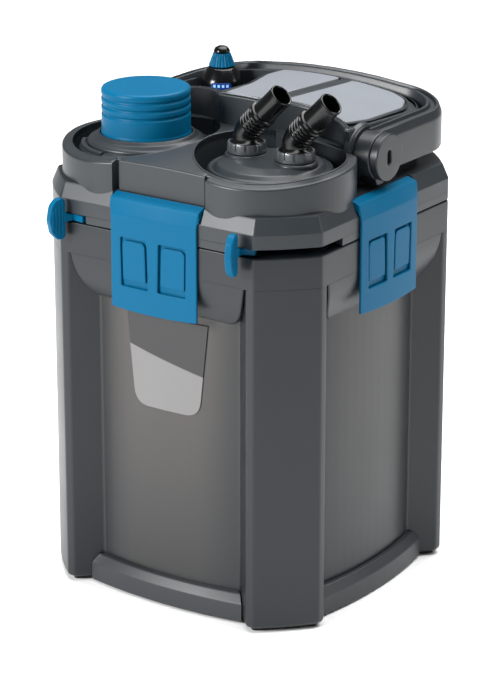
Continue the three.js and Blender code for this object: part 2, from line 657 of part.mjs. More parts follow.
// ---- hose connector ----
const connector = new THREE.Group();
connector.position.set(towerX, towerY, 0);
part.add(connector);
const ports = [['inlet', -nozzleOffset], ['outlet', nozzleOffset]];
let block = join(turned([[0, 318.4], [46, 318.4], [46, 334], [38, 336.6], [28, 339.4],
  [0, 340.6]], 0, 0, 40), turned([[37, 262], [41, 262], [41, 320], [37, 320]], 0, 0, 30));
for (const [, x] of ports) {
  block = join(block, cylinder(14.3, 330, 340.7, x, nozzleShift, 28),
    cylinder(11, 330, 348.2, x, nozzleShift));
}
for (const [, x] of ports) block = cut(block, cylinder(7, 300, 350, x, nozzleShift, 20));
addPiece('connector_plate', block, housingGrey, connector);

// each nozzle rises from its nut, then leans over at an elbow
const nozzleLean = Math.PI / 4;
const nozzleLength = 42.6; // from the elbow to the tip
const elbowZ = 356.3;
const boreR = 6.3;
const leaning = (geometry) => toSolid(geometry
  .rotateX(Math.PI / 2).rotateY(nozzleLean).translate(0, 0, elbowZ));
const elbowBall = (r) => leaning(new THREE.SphereGeometry(r, 24, 12));
for (const [name, x] of ports) {
  const nut = addPiece(`union_nut_${name}`, turned([[11.4, 341], [14.3, 341], [14.3, 347.3],
    [13.4, 348.5], [11.4, 348.5]], 0, 0, 28), nutMetal, connector);
  nut.position.set(x, nozzleShift, 0);
  const tube = new THREE.LatheGeometry([[0, 0], [10.7, 0], [10.7, 20], [8.75, 21],
    [8.75, nozzleLength], [0, nozzleLength], [0, 0]].map(([r, z]) => new THREE.Vector2(r, z)), 24);
  const bore = new THREE.CylinderGeometry(boreR, boreR, nozzleLength + 2, 20)
    .translate(0, nozzleLength / 2 + 1, 0);
  const nozzle = cut(join(leaning(tube), cone(12.5, 11, 348.8, 353),
    cylinder(10.7, 350, elbowZ), elbowBall(10.7)), leaning(bore),
    cylinder(boreR, 345, elbowZ, 0, 0, 20), elbowBall(boreR));
  addPiece(`hose_nozzle_${name}`, nozzle, glossBlack, connector).position.set(x, nozzleShift, 0);
}

export default part;
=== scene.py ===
"""Looks of an external canister filter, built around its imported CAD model.

Lengths are millimetres in the model's own frame (+Z up, front towards -Y), which solid()
and slab() turn into metres. Materials, lights and the camera are in metres.
"""

from math import acos, atan2, cos, degrees, hypot, pi, radians, sin, sqrt, tan

import bmesh
import bpy
from mathutils import Matrix, Vector


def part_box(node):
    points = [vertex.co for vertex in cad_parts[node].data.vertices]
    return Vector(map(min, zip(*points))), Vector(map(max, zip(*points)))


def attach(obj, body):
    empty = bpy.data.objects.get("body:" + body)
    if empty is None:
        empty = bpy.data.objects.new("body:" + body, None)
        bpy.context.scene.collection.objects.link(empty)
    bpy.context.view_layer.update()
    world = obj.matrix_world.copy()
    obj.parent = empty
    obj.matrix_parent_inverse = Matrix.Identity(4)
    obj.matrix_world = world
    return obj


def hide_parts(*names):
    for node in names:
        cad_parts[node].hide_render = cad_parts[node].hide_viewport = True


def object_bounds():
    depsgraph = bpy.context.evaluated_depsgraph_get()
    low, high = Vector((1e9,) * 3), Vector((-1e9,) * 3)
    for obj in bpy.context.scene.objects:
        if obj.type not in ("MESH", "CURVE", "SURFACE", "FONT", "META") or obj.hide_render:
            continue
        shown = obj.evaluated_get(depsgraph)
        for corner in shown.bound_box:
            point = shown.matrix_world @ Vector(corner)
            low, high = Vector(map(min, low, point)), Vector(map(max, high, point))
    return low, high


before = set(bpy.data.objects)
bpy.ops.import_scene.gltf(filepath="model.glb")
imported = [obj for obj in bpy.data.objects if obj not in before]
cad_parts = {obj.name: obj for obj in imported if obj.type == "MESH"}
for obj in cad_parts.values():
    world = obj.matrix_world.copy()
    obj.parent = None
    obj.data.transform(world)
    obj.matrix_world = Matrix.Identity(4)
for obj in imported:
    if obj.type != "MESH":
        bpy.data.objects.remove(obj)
cad_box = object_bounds()

MM = 0.001
SIDES = ("front", "right", "rear", "left")


# ---- places taken from the CAD ----
def box_mm(node):
    low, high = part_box(node)
    return [v / MM for v in low], [v / MM for v in high]


def middle(node):
    low, high = box_mm(node)
    return [(a + b) / 2 for a, b in zip(low, high)]


def heights(node):
    """Lowest and highest level of a node."""
    return [corner[2] for corner in box_mm(node)]


SHELL_LOW, SHELL_HIGH = box_mm("canister_shell")
HEAD_Z = heights("head_housing")[0]  # underside of the head
HALF = SHELL_HIGH[0]  # half width of the collar, columns and flange
CORNER = 34.5  # leg of each cut-off corner
BULGE = 1.5  # outward bow of a corner facet
COLUMN_EDGE = 79.0
PANEL_EDGE = 62.5
PANEL_OUT = HALF - 16.5  # how far out the recessed side panels lie at their edges
PANEL_BOW = 6.5
SKIRT_TOP = 262.0
SKIRT_LOW = 230.0
FLANGE_TOP = HEAD_Z + 16.7
DECK_Z = HEAD_Z + 27.9
DECK_INSET = 5.0
PREFILTER = middle("prefilter_head")
CONNECTOR = middle("connector_plate")
TOWER_X = (CONNECTOR[0] - PREFILTER[0]) / 2
TOWER_Y = PREFILTER[1]
TOWERS = (-TOWER_X, TOWER_X)
TOWER_R = 62.0
TOWER_TOP = 346.5
BORE_R = 44  # of the bore below each tower
POCKET_R = 54.2
POCKET_Z = heights("connector_plate")[0] + 56.4
TOWER_FLAT = 111.4
SEAT_HALF = 40.0  # half width of the slanted seat behind each latch
PLATEAU_FRONT = -16.0
PLATEAU_REAR = 97.5
PLATEAU_HALF = 96.5
PLATEAU_TOP = 369.0  # at the middle of its front edge
HEATER = middle("heater_dial_cap")
PIVOT = middle("pivot_cap_right")


def deck_height(x, y):
    return TOWER_TOP - 0.0006 * x * x - 0.0022 * max(0.0, -(y + 45.0)) ** 2


def plateau_height(x, y):
    return PLATEAU_TOP - 0.00125 * x * x - 0.05 * (y - PLATEAU_FRONT)


# ---- meshes ----
def shade(obj, angle):
    mesh = obj.data
    mesh.shade_smooth()
    mesh.set_sharp_from_angle(angle=radians(angle))
    weighted = obj.modifiers.new("even_normals", "WEIGHTED_NORMAL")
    weighted.keep_sharp = True
    weighted.weight = 80


def add_object(name, data):
    obj = bpy.data.objects.new(name, data)
    bpy.context.scene.collection.objects.link(obj)
    return obj


def from_bmesh(name, bm):
    mesh = bpy.data.meshes.new(name)
    bm.to_mesh(mesh)
    bm.free()
    return add_object(name, mesh)


def solid(name, verts, faces, place=None):
    if place:
        verts = [place(v) for v in verts]
    mesh = bpy.data.meshes.new(name)
    mesh.from_pydata([Vector(v) * MM for v in verts], [], faces)
    bm = bmesh.new()
    bm.from_mesh(mesh)
    bmesh.ops.remove_doubles(bm, verts=bm.verts, dist=2e-6)
    bmesh.ops.dissolve_degenerate(bm, edges=bm.edges, dist=1e-6)
    face_outward(bm)
    bm.to_mesh(mesh)
    bm.free()
    return add_object(name, mesh)


def face_outward(bm):
    bmesh.ops.recalc_face_normals(bm, faces=bm.faces)
    if bm.calc_volume(signed=True) < 0:
        bmesh.ops.reverse_faces(bm, faces=bm.faces)


def merge(name, *parts):
    """One object from several closed ones."""
    bm = bmesh.new()
    for part in parts:
        bm.from_mesh(part.data)
        bpy.data.objects.remove(part)
    return from_bmesh(name, bm)


def skin(rings, loop=False):
    """Vertices and faces between equal rings, with capped ends unless they meet."""
    count = len(rings[0])
    verts = [p for ring in rings for p in ring]
    faces = []
    for r in range(len(rings) if loop else len(rings) - 1):
        low = r * count
        high = ((r + 1) % len(rings)) * count
        for i in range(count):
            j = (i + 1) % count
            faces.append((low + i, low + j, high + j, high + i))
    if not loop:
        faces.append(tuple(reversed(range(count))))
        faces.append(tuple(range((len(rings) - 1) * count, len(rings) * count)))
    return verts, faces


def at(x=0.0, y=0.0, z=0.0, turn=0.0):
    """Turns by an angle in degrees about the vertical, then moves."""
    c, s = cos(radians(turn)), sin(radians(turn))
    return lambda v: (v[0] * c - v[1] * s + x, v[0] * s + v[1] * c + y, v[2] + z)


def along_x(v):
    """Stands a shape's Z axis along X."""
    return (v[2], v[0], v[1])


def then(*steps):
    def run(v):
        for step in steps:
            v = step(v)
        return v
    return run


def quarter(q):
    return at(turn=90.0 * q)


def turns(count):
    """Angles that divide a full turn."""
    return [2 * pi * k / count for k in range(count)]


def polar(r, a, z):
    return (r * cos(a), r * sin(a), z)


def lathe(name, profile, segments, place):
    """A closed (radius, height) profile turned about the Z axis."""
    rings = [[polar(r, a, z) for r, z in profile] for a in turns(segments)]
    verts, faces = skin(rings, loop=True)
    if profile[0][0] == 0 and profile[-1][0] == 0:  # the axis itself bears no faces
        count = len(profile)
        faces = [f for i, f in enumerate(faces) if i % count != count - 1]
    return solid(name, verts, faces, place)


def rounded(points, radius, steps=3, keep=()):
    """Rounds the corners of a closed 2D path; corners listed in keep stay sharp."""
    result = []
    count = len(points)
    for i, p in enumerate(points):
        p = Vector(p)
        if i in keep:
            result.append(tuple(p))
            continue
        before = Vector(points[i - 1]) - p
        after = Vector(points[(i + 1) % count]) - p
        if before.length < 1e-6 or after.length < 1e-6:
            result.append(tuple(p))
            continue
        reach = min(radius, 0.45 * before.length, 0.45 * after.length)
        a = p + before.normalized() * reach
        b = p + after.normalized() * reach
        for k in range(steps + 1):
            t = k / steps
            result.append(tuple(a * (1 - t) ** 2 + p * (2 * t * (1 - t)) + b * t * t))
    return result


def arc(cx, cy, r, a0, a1, steps):
    angles = [radians(a0 + (a1 - a0) * i / steps) for i in range(steps + 1)]
    return [(cx + r * cos(a), cy + r * sin(a)) for a in angles]


def circle(x, y, r, steps):
    return arc(x, y, r, 0, 360, steps)[:-1]


def sideways(path, i):
    """Unit vector to the left of an open path at its point i."""
    before = Vector(path[max(0, i - 1)])
    after = Vector(path[min(len(path) - 1, i + 1)])
    d = (after - before).normalized()
    return Vector((-d.y, d.x))


def area(points):
    return 0.5 * sum(p[0] * q[1] - q[0] * p[1]
                     for p, q in zip(points, points[1:] + points[:1]))


def leftward(points):
    """An outline in the direction that has its inside on the left."""
    points = list(points)
    return points if area(points) > 0 else points[::-1]


def shrink(points, by):
    """Moves an outline to its left by a distance, with mitred corners."""
    result = []
    count = len(points)
    for i in range(count):
        p = Vector(points[i])
        d1 = (p - Vector(points[i - 1])).normalized()
        d2 = (Vector(points[(i + 1) % count]) - p).normalized()
        n1 = Vector((-d1.y, d1.x))
        n2 = Vector((-d2.y, d2.x))
        result.append(tuple(p + (n1 + n2) * (by / max(0.35, 1 + n1.dot(n2)))))
    return result


def edge_levels(z0, z1, low, high, steps=3):
    """(height, inset) pairs of a plate whose edges are rounded by low and high."""
    angles = [pi / 2 * k / steps for k in range(steps + 1)]
    return ([(z0 + low * (1 - cos(a)), low * (1 - sin(a))) for a in angles]
            + [(z1 - high * (1 - cos(a)), high * (1 - sin(a)))
               for a in reversed(angles)])


def slab(name, outer, z0, z1, low=0.6, high=0.6, holes=(), lines=(), place=None, steps=3,
         levels=None, hole_edge=None):
    """A flat plate with rounded edges and holes; lines are the extra cuts across it,
    ("x" or "y", position), and place moves every point afterwards."""
    bm = bmesh.new()
    levels = levels or edge_levels(z0, z1, low, high, steps)
    hole_levels = levels
    if hole_edge is not None:
        hole_levels = edge_levels(z0, z1, low, hole_edge, steps)
    loops = [leftward(outer)] + [leftward(h)[::-1] for h in holes]
    ends = ([], [])
    for number, loop in enumerate(loops):
        rings = []
        for z, inset in (hole_levels if number else levels):
            rings.append([bm.verts.new((x, y, z)) for x, y in shrink(loop, inset)])
        count = len(loop)
        for below, above in zip(rings, rings[1:]):
            for i in range(count):
                j = (i + 1) % count
                bm.faces.new((below[i], below[j], above[j], above[i]))
        for k, ring in ((0, rings[0]), (1, rings[-1])):
            for i in range(count):
                ends[k].append(bm.edges.get((ring[i], ring[(i + 1) % count])))
    for edges in ends:
        bmesh.ops.triangle_fill(bm, use_beauty=True, use_dissolve=False, edges=edges)
    bmesh.ops.remove_doubles(bm, verts=bm.verts, dist=2e-3)
    for axis, value in lines:
        normal = (1, 0, 0) if axis == "x" else (0, 1, 0)
        bmesh.ops.bisect_plane(bm, geom=bm.verts[:] + bm.edges[:] + bm.faces[:],
                               dist=1e-5, plane_co=[value * n for n in normal],
                               plane_no=normal)
    for v in bm.verts:
        p = place(v.co) if place else v.co
        v.co = Vector(p) * MM
    bmesh.ops.dissolve_degenerate(bm, edges=bm.edges, dist=1e-7)
    face_outward(bm)
    return from_bmesh(name, bm)


def mesh_lines(x0, x1, dx, y0=0, y1=0, dy=0):
    """Evenly spaced cuts for slab(), so that a bent plate bends smoothly."""
    lines = []
    for axis, a, b, step in (("x", x0, x1, dx), ("y", y0, y1, dy)):
        if step:
            count = max(1, round((b - a) / step))
            lines += [(axis, a + (b - a) * i / count) for i in range(1, count)]
    return lines


def softened(node, name, width=0.6, segments=2):
    """A copy of a CAD node's mesh with its edges rounded."""
    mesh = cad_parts[node].data.copy()
    obj = add_object(name, mesh)
    bm = bmesh.new()
    bm.from_mesh(mesh)
    bmesh.ops.remove_doubles(bm, verts=bm.verts, dist=1e-6)
    bmesh.ops.dissolve_limit(bm, angle_limit=radians(1.5), verts=bm.verts, edges=bm.edges)
    bm.to_mesh(mesh)
    bm.free()
    mesh.shade_smooth()
    bevel = obj.modifiers.new("edges", "BEVEL")
    bevel.width = width * MM
    bevel.segments = segments
    bevel.limit_method = "ANGLE"
    bevel.angle_limit = radians(34)
    weighted = obj.modifiers.new("even_normals", "WEIGHTED_NORMAL")
    weighted.weight = 80
    return obj


def piece(obj, body, slot, material, *nodes, angle=32.0):
    """Gives an object its material and its place in the frame; its edges are drawn sharp
    above an angle, and softened objects, which have none, keep their own shading."""
    if angle:
        shade(obj, angle)
    obj.data.materials.clear()
    obj.data.materials.append(material)
    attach(obj, body)
    if nodes:
        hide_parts(*nodes)
    return obj


# ---- materials ----
def put(node, values):
    """Sets a node's inputs, given by name or number."""
    for key, value in values.items():
        node.inputs[key].default_value = value


def ramp(nodes, start, end, low=0.0, high=1.0):
    """A node that turns the range from low to high into the one from start to end."""
    node = nodes.new("ShaderNodeMapRange")
    put(node, {"From Min": low, "From Max": high, "To Min": start, "To Max": end})
    return node


def position(nodes, links):
    """The object's own coordinates, with one output for each axis."""
    place = nodes.new("ShaderNodeTexCoord")
    parts = nodes.new("ShaderNodeSeparateXYZ")
    links.new(place.outputs["Object"], parts.inputs[0])
    return parts.outputs


def tint(material, amount, colour):
    """Lays a second colour over a material where the amount is high."""
    nodes = material.node_tree.nodes
    links = material.node_tree.links
    base = nodes["Principled BSDF"].inputs["Base Color"]
    before = base.links[0].from_socket
    mix = nodes.new("ShaderNodeMix")
    mix.data_type = "RGBA"
    put(mix, {7: (*colour, 1)})
    links.new(amount, mix.inputs[0])
    links.new(before, mix.inputs[6])
    links.new(mix.outputs[2], base)


def moulded(name, colour, roughness, shift=0.14, grain=1400.0, bump=0.12, metallic=0.0,
            specular=0.5, spread=0.07, depth=0.00012):
    """Moulded plastic, rubber or metal: a fine grain in the surface, slow changes of
    colour and a roughness that drifts a little."""
    material = bpy.data.materials.new(name)
    material.use_nodes = True
    nodes = material.node_tree.nodes
    links = material.node_tree.links
    shader = nodes["Principled BSDF"]
    put(shader, {"Metallic": metallic, "Specular IOR Level": specular})
    place = nodes.new("ShaderNodeTexCoord")

    def noise(scale, detail):
        node = nodes.new("ShaderNodeTexNoise")
        put(node, {"Scale": scale, "Detail": detail})
        links.new(place.outputs["Object"], node.inputs["Vector"])
        return node.outputs["Fac"]

    slow = noise(22.0, 4.0)
    fine = noise(grain, 2.0)
    mix = nodes.new("ShaderNodeMix")
    mix.data_type = "RGBA"
    dark = tuple(c * (1 - shift) for c in colour)
    light = tuple(min(1.0, c * (1 + shift)) for c in colour)
    put(mix, {6: (*dark, 1), 7: (*light, 1)})
    links.new(slow, mix.inputs[0])
    links.new(mix.outputs[2], shader.inputs["Base Color"])
    drift = ramp(nodes, roughness - spread, roughness + spread)
    links.new(slow, drift.inputs["Value"])
    speck = nodes.new("ShaderNodeMath")
    speck.operation = "MULTIPLY_ADD"
    put(speck, {1: 0.06})
    links.new(fine, speck.inputs[0])
    links.new(drift.outputs["Result"], speck.inputs[2])
    links.new(speck.outputs[0], shader.inputs["Roughness"])
    relief = nodes.new("ShaderNodeBump")
    put(relief, {"Strength": bump, "Distance": depth})
    links.new(fine, relief.inputs["Height"])
    links.new(relief.outputs["Normal"], shader.inputs["Normal"])
    return material


def srgb(*levels):
    """A linear colour from levels of 0 to 255."""
    return tuple(v / 12.92 if v <= 0.04045 else ((v + 0.055) / 1.055) ** 2.4
                 for v in [level / 255.0 for level in levels])


housing = moulded("housing_plastic", srgb(38, 43, 47), 0.33, shift=0.1, specular=0.4)
slate = moulded("slate_plastic", srgb(32, 37, 41), 0.33, shift=0.1, specular=0.4)
trim = moulded("trim_plastic", srgb(44, 47, 50), 0.38, shift=0.1, specular=0.4)
pale = moulded("panel_plastic", srgb(118, 122, 128), 0.33, shift=0.06, specular=0.4)
blue = moulded("clip_plastic", srgb(0, 84, 119), 0.34, shift=0.06, bump=0.05, specular=0.10)
gloss = moulded("gloss_black_plastic", srgb(7, 8, 9), 0.16, bump=0.02, spread=0.04,
                specular=0.35)
satin = moulded("satin_black_plastic", srgb(22, 22, 24), 0.42, specular=0.3)
nut_metal = moulded("nut_metal", srgb(96, 100, 104), 0.32, metallic=0.7, bump=0.05)
rubber = moulded("rubber", srgb(20, 20, 20), 0.75, bump=0.25)
tray_plastic = moulded("tray_plastic", srgb(46, 48, 52), 0.5)
ceramic = moulded("rotor_ceramic", srgb(222, 220, 212), 0.3)
magnet = moulded("magnet", srgb(52, 52, 56), 0.38, metallic=0.5)
steel = moulded("spring_steel", srgb(176, 180, 184), 0.25, metallic=1.0, bump=0.04)


# ---- canister ----
def shell_material():
    """Dark columns and collar; the side panels get a lighter warm tint that holds painted light:
    lighter in the middle, with painted shade towards the bottom and on the panels facing left and
    right.
    """
    material = moulded("shell_plastic", srgb(23, 28, 32), 0.33, shift=0.1, specular=0.4)
    nodes = material.node_tree.nodes
    links = material.node_tree.links
    axes = position(nodes, links)

    def sums(operation, first, second=None):
        node = nodes.new("ShaderNodeMath")
        node.operation = operation
        links.new(first, node.inputs[0])
        if second:
            links.new(second, node.inputs[1])
        return node.outputs[0]

    def fade(value, low, high, start, end):
        node = ramp(nodes, start, end, low, high)
        node.interpolation_type = "SMOOTHSTEP"
        links.new(value, node.inputs["Value"])
        return node.outputs["Result"]

    x = sums("ABSOLUTE", axes["X"])
    y = sums("ABSOLUTE", axes["Y"])
    # painted light: the panels' tint is strongest in their middles
    painted_light_middle = fade(sums("MINIMUM", x, y), 0.025, 0.064, 1.0, 0.25)
    in_panel = fade(sums("MAXIMUM", x, y), 0.1103, 0.1107, 1.0, 0.0)
    beside = fade(sums("MINIMUM", x, y), 0.0628, 0.0634, 1.0, 0.0)
    # painted shade: the tint fades towards the bottom, so the panels are painted darker there
    rise = fade(axes["Z"], 0.0, 0.22, 0.3, 1.0)
    # painted shade: the panels facing left and right get less of the lighter tint
    painted_side_shade = fade(sums("SUBTRACT", x, y), -0.01, 0.01, 1.0, 0.45)
    amount = sums("MULTIPLY", sums("MULTIPLY", painted_light_middle, in_panel),
                  sums("MULTIPLY", sums("MULTIPLY", beside, painted_side_shade), rise))
    # the panels' lighter warm grey, which carries the painted light and shade above
    tint(material, amount, srgb(68, 65, 63))
    return material


SIDE_EDGE = HALF - CORNER  # half width of a straight side of the collar


def corner_facet():
    """The bowed facet at the front right corner of the collar."""
    facet = []
    reach = HALF - CORNER / 2
    span = Vector((HALF - CORNER, -HALF)) - Vector((HALF, CORNER - HALF))
    for k in range(1, 8):
        t = 2 * k / 8 - 1
        along = -span * (t / 2)
        bow = BULGE * (1 - t * t)
        facet.append((reach + along.x + bow / sqrt(2), -reach + along.y - bow / sqrt(2)))
    return facet


def all_round(side):
    """A closed path from the front side's points, repeated on all four sides."""
    return [quarter(q)((x, y, 0))[:2] for q in range(4) for x, y in side]


def collar_ring():
    return all_round([(-SIDE_EDGE, -HALF), (SIDE_EDGE, -HALF)] + corner_facet())


def strip_points(half_width, out, count=16):
    """A line along the front that bows out as the side panels do."""
    steps = [2 * k / count - 1 for k in range(count + 1)]
    return [(half_width * t, -(out + PANEL_BOW * (1 - t ** 2))) for t in steps]


def shell_sections():
    """Matching outlines of the canister: through the recessed panels, and plain."""
    side = [(-SIDE_EDGE, -HALF), (-COLUMN_EDGE, -HALF), (-PANEL_EDGE, -PANEL_OUT)]
    side += strip_points(PANEL_EDGE, PANEL_OUT, 12)[1:-1]
    side += [(PANEL_EDGE, -PANEL_OUT), (COLUMN_EDGE, -HALF), (SIDE_EDGE, -HALF)]
    recessed = rounded(all_round(side + corner_facet()), 1.6)
    plain = []
    for x, y in recessed:
        for q in range(4):
            u, v, _ = quarter(-q)((x, y, 0))
            if v < -abs(u) + 1e-6 and abs(u) < SIDE_EDGE - 1.7:
                v = -HALF
                x, y, _ = quarter(q)((u, v, 0))
                break
        plain.append((x, y))
    return recessed, plain


def along_rays(points, distance):
    """The points moved along their rays to the distance given for each direction."""
    result = []
    for x, y in points:
        r = hypot(x, y)
        k = distance(abs(x) / r, abs(y) / r)
        result.append((x / r * k, y / r * k))
    return result


def to_octagon(points, reach, cut):
    limit = (2 * reach - cut) / sqrt(2)
    return along_rays(points, lambda c, s: min(reach / max(c, s),
                                               limit / ((c + s) / sqrt(2))))


def to_rounded_square(points, reach, radius):
    inner = reach - radius

    def distance(c, s):
        k = reach / max(c, s)
        if min(c, s) * k > inner:
            b = inner * (c + s)
            k = b + sqrt(max(0.0, b * b - 2 * inner * inner + radius * radius))
        return k

    return along_rays(points, distance)


def level(points, z):
    return [(x, y, z) for x, y in points]


FOOT_ROUND = 3.6  # rounding of the canister's lowest edge
MOUTH = 112.5
MOUTH_FLOOR = 240  # ledge that the head's plate stands over
VESSEL = 99.5


def build_shell():
    recessed, plain = shell_sections()
    z0, z1 = SHELL_LOW[2], SHELL_HIGH[2]
    rings = [level(shrink(recessed, inset), z)
             for z, inset in edge_levels(z0, z1, FOOT_ROUND, 0, 5)[:6]]
    for z in (60, 120, 180, 228, 245, SKIRT_TOP - 0.1):
        rings.append(level(recessed, z))
    rings.append(level(shrink(plain, 0.1), SKIRT_TOP + 0.05))
    for z in (SKIRT_TOP + 0.2, 272, z1 - 1.2):
        rings.append(level(plain, z))
    rings.append(level(shrink(plain, 0.35), z1 - 0.35))
    rings.append(level(shrink(plain, 1.2), z1))
    cut = CORNER - (HALF - MOUTH) * (2 - sqrt(2)) + 0.5
    for reach, z in ((MOUTH + 0.8, z1), (MOUTH, z1 - 0.8), (MOUTH, MOUTH_FLOOR)):
        rings.append(level(to_octagon(plain, reach, cut), z))
    for reach, radius, z in ((VESSEL + 1, 12, MOUTH_FLOOR), (VESSEL, 12, MOUTH_FLOOR - 1),
                             (VESSEL, 12, 12), (VESSEL - 4, 9, 7.5)):
        rings.append(level(to_rounded_square(plain, reach, radius), z))
    shell = solid("shell", *skin(rings))
    arch = []
    for k in range(13):
        t = k / 12
        arch.append((58 * (1 - t) ** 2 + 2 * 72 * t * (1 - t) + 77 * t * t,
                     SKIRT_LOW * (1 - t) ** 2 + 2 * (SKIRT_LOW + 1) * t * (1 - t)
                     + SKIRT_TOP * t * t))
    top = SKIRT_TOP + 5
    outline = [(-78.6, top), *[(-u, z) for u, z in reversed(arch)], *arch, (78.6, top)]
    depth = 18.0

    def hang(v):
        u, z, h = v
        t = max(0.0, SKIRT_TOP - z) / (SKIRT_TOP - 228)
        out = HALF - 11 * t * t - (0.35 if z > SKIRT_TOP + 0.3 else 0.0)
        return (u, -(out - (depth - h)), z)

    lines = mesh_lines(-80, 80, 16, SKIRT_LOW, SKIRT_TOP, 3.2) + [("y", SKIRT_TOP)]
    skirts = [slab("skirt", outline, 0, depth, 0.2, 1.3, steps=4, lines=lines,
                   place=then(hang, quarter(q))) for q in range(4)]
    return merge("canister_body", shell, *skirts)


piece(build_shell(), "canister", "housing_grey", shell_material(), "canister_shell", angle=30.0)


def trim_ring(inset, z, q):
    front = strip_points(69 - inset, 111.5 - inset)
    back = strip_points(62 - inset * 0.3, PANEL_OUT + 0.6)[::-1]
    return [quarter(q)((x, y, z)) for x, y in front + back]


for q, side in enumerate(SIDES):
    z0, z1 = heights(f"base_trim_{side}")
    rings = [trim_ring(inset, z, q) for inset, z in (
        (0.9, z0), (0.25, z0 + 0.3), (0, z0 + 0.9), (0, z0 + 13.2), (0.12, z0 + 14.2),
        (0.55, z0 + 14.9), (3.6, z1 - 1.2), (4.2, z1 - 0.5), (5.0, z1))]
    kick = solid(f"kick_plate_{side}", *skin(rings))
    piece(kick, "canister", "trim_grey", trim, f"base_trim_{side}", angle=40.0)

for name in ("front_left", "front_right", "rear_left", "rear_right"):
    foot = softened(f"rubber_foot_{name}", f"foot_{name}", 0.7)
    piece(foot, "canister", "rubber_black", rubber, f"rubber_foot_{name}", angle=None)


# the plain data plate, dark above and light below
def plate_material():
    material = moulded("data_plate", srgb(110, 109, 109), 0.34, shift=0.04)
    nodes = material.node_tree.nodes
    links = material.node_tree.links
    axes = position(nodes, links)
    slope = nodes.new("ShaderNodeMath")
    slope.operation = "MULTIPLY_ADD"
    put(slope, {1: 0.22})
    links.new(axes["X"], slope.inputs[0])
    links.new(axes["Z"], slope.inputs[2])
    edge = ramp(nodes, 0.0, 1.0, 0.1915, 0.1922)
    links.new(slope.outputs[0], edge.inputs["Value"])
    tint(material, edge.outputs["Result"], srgb(34, 34, 36))
    return material


def wrap(v):
    u, z, h = v
    t = u / PANEL_EDGE
    return (u, -(PANEL_OUT + PANEL_BOW * (1 - t * t) + h), z)


plate_outline = rounded([(-34, 224), (-26.5, 153), (30.5, 153), (38, 224)], 12, 9, keep=(0, 3))
plate = slab("data_plate", plate_outline, 0.3, 1.0, 0.1, 0.25,
             lines=mesh_lines(-34, 38, 6), place=wrap)
piece(plate, "canister", "plate_grey", plate_material(), "front_plate", angle=40.0)


# ---- head ----
def notched(outline, x, y, r, a0, a1):
    """The outline with a ring sector about (x, y) cut into it from outside."""
    def angle(p):
        return degrees(atan2(p[1] - y, p[0] - x)) % 360

    inside = [a0 < angle(p) < a1 for p in outline]
    count = len(outline)
    first = next(i for i in range(count) if inside[i] and not inside[i - 1])
    last = next(i for i in range(count) if inside[i] and not inside[(i + 1) % count])

    def crossing(i, j, a):
        p, q = Vector(outline[i]), Vector(outline[j])
        ray = Vector((cos(radians(a)), sin(radians(a))))
        start = Vector((x, y))
        d = q - p
        t = ((start - p).cross(ray)) / d.cross(ray)
        return tuple(p + d * t)

    kept = []
    i = (last + 1) % count
    while i != first:
        kept.append(outline[i])
        i = (i + 1) % count
    return (kept + [crossing(first - 1, first, a0)] + arc(x, y, r, a0, a1, 24)
            + [crossing(last, (last + 1) % count, a1)])


def latch_seat(v):
    """Leans the flange's chamfer back behind each latch."""
    x, y, z = v
    if z <= FLANGE_TOP + 0.4:
        return v
    limit = max(TOWER_FLAT, HALF - 0.843 * (z - FLANGE_TOP - 0.4))
    if abs(x) < SEAT_HALF + 0.1:
        y = max(-limit, min(limit, y))
    if abs(y) < SEAT_HALF + 0.1:
        x = max(-limit, min(limit, x))
    return (x, y, z)


def flange():
    """The flange in two layers: the lower one has the slots that the levers turn in."""
    z0 = HEAD_Z
    slot_z = z0 + 6.1
    outline = rounded(collar_ring(), 2.0)
    bores = [circle(x, TOWER_Y, BORE_R, 72) for x in TOWERS]
    low = notched(outline, -TOWER_X, TOWER_Y, 50, 189, 264)
    low = notched(low, TOWER_X, TOWER_Y, 50, 277, 356)
    band = slab("band", low, z0, slot_z + 0.2, 0.5, 0.02, holes=bores,
                levels=[(z0, 0.9), (z0 + 0.25, 0.3), (z0 + 0.8, 0.0), (slot_z + 0.2, 0.0)],
                hole_edge=0.02)
    upper = slab("upper", outline, slot_z, DECK_Z, holes=bores, hole_edge=0.02, low=0.02,
                 lines=[(axis, side * (SEAT_HALF + step)) for axis in "xy" for side in (-1, 1)
                        for step in (0.0, 0.4)],
                 place=latch_seat,
                 levels=[(slot_z, 0.0), (FLANGE_TOP - 1.0, 0.0), (FLANGE_TOP - 0.3, 0.05),
                         (FLANGE_TOP + 0.5, 0.3), (DECK_Z - 1.5, DECK_INSET - 0.8),
                         (DECK_Z - 0.4, DECK_INSET - 0.1), (DECK_Z, DECK_INSET + 0.8)])
    return [band, upper]


def turn_at(reach, radius):
    """Angle in degrees whose cosine is reach / radius."""
    return degrees(acos(reach / radius))


def crown(v):
    """Lets a flat plate's top follow the deck's crown."""
    x, y, z = v
    weight = min(1.0, max(0.0, (z - 318) / 24.0))
    return (x, y, z + (deck_height(x, y) - TOWER_TOP) * weight)


def tower_plan():
    r = TOWER_R
    seat = 41.0
    groove = 37.6
    bottom = -TOWER_FLAT
    start = turn_at(TOWER_X - seat, r)
    left_end = 360 - start  # angle on the left circle where its wall meets the groove
    points = [(-groove, bottom), (groove, bottom), (groove, bottom + 2.4), (seat, bottom + 2.4)]
    points += arc(TOWER_X, TOWER_Y, r, 180 + start, 360 + 38, 60)
    points += [(70, -8), (-70, -8)]
    points += arc(-TOWER_X, TOWER_Y, r, 142, left_end, 60)
    points += [(-seat, bottom + 2.4), (-groove, bottom + 2.4)]
    return points


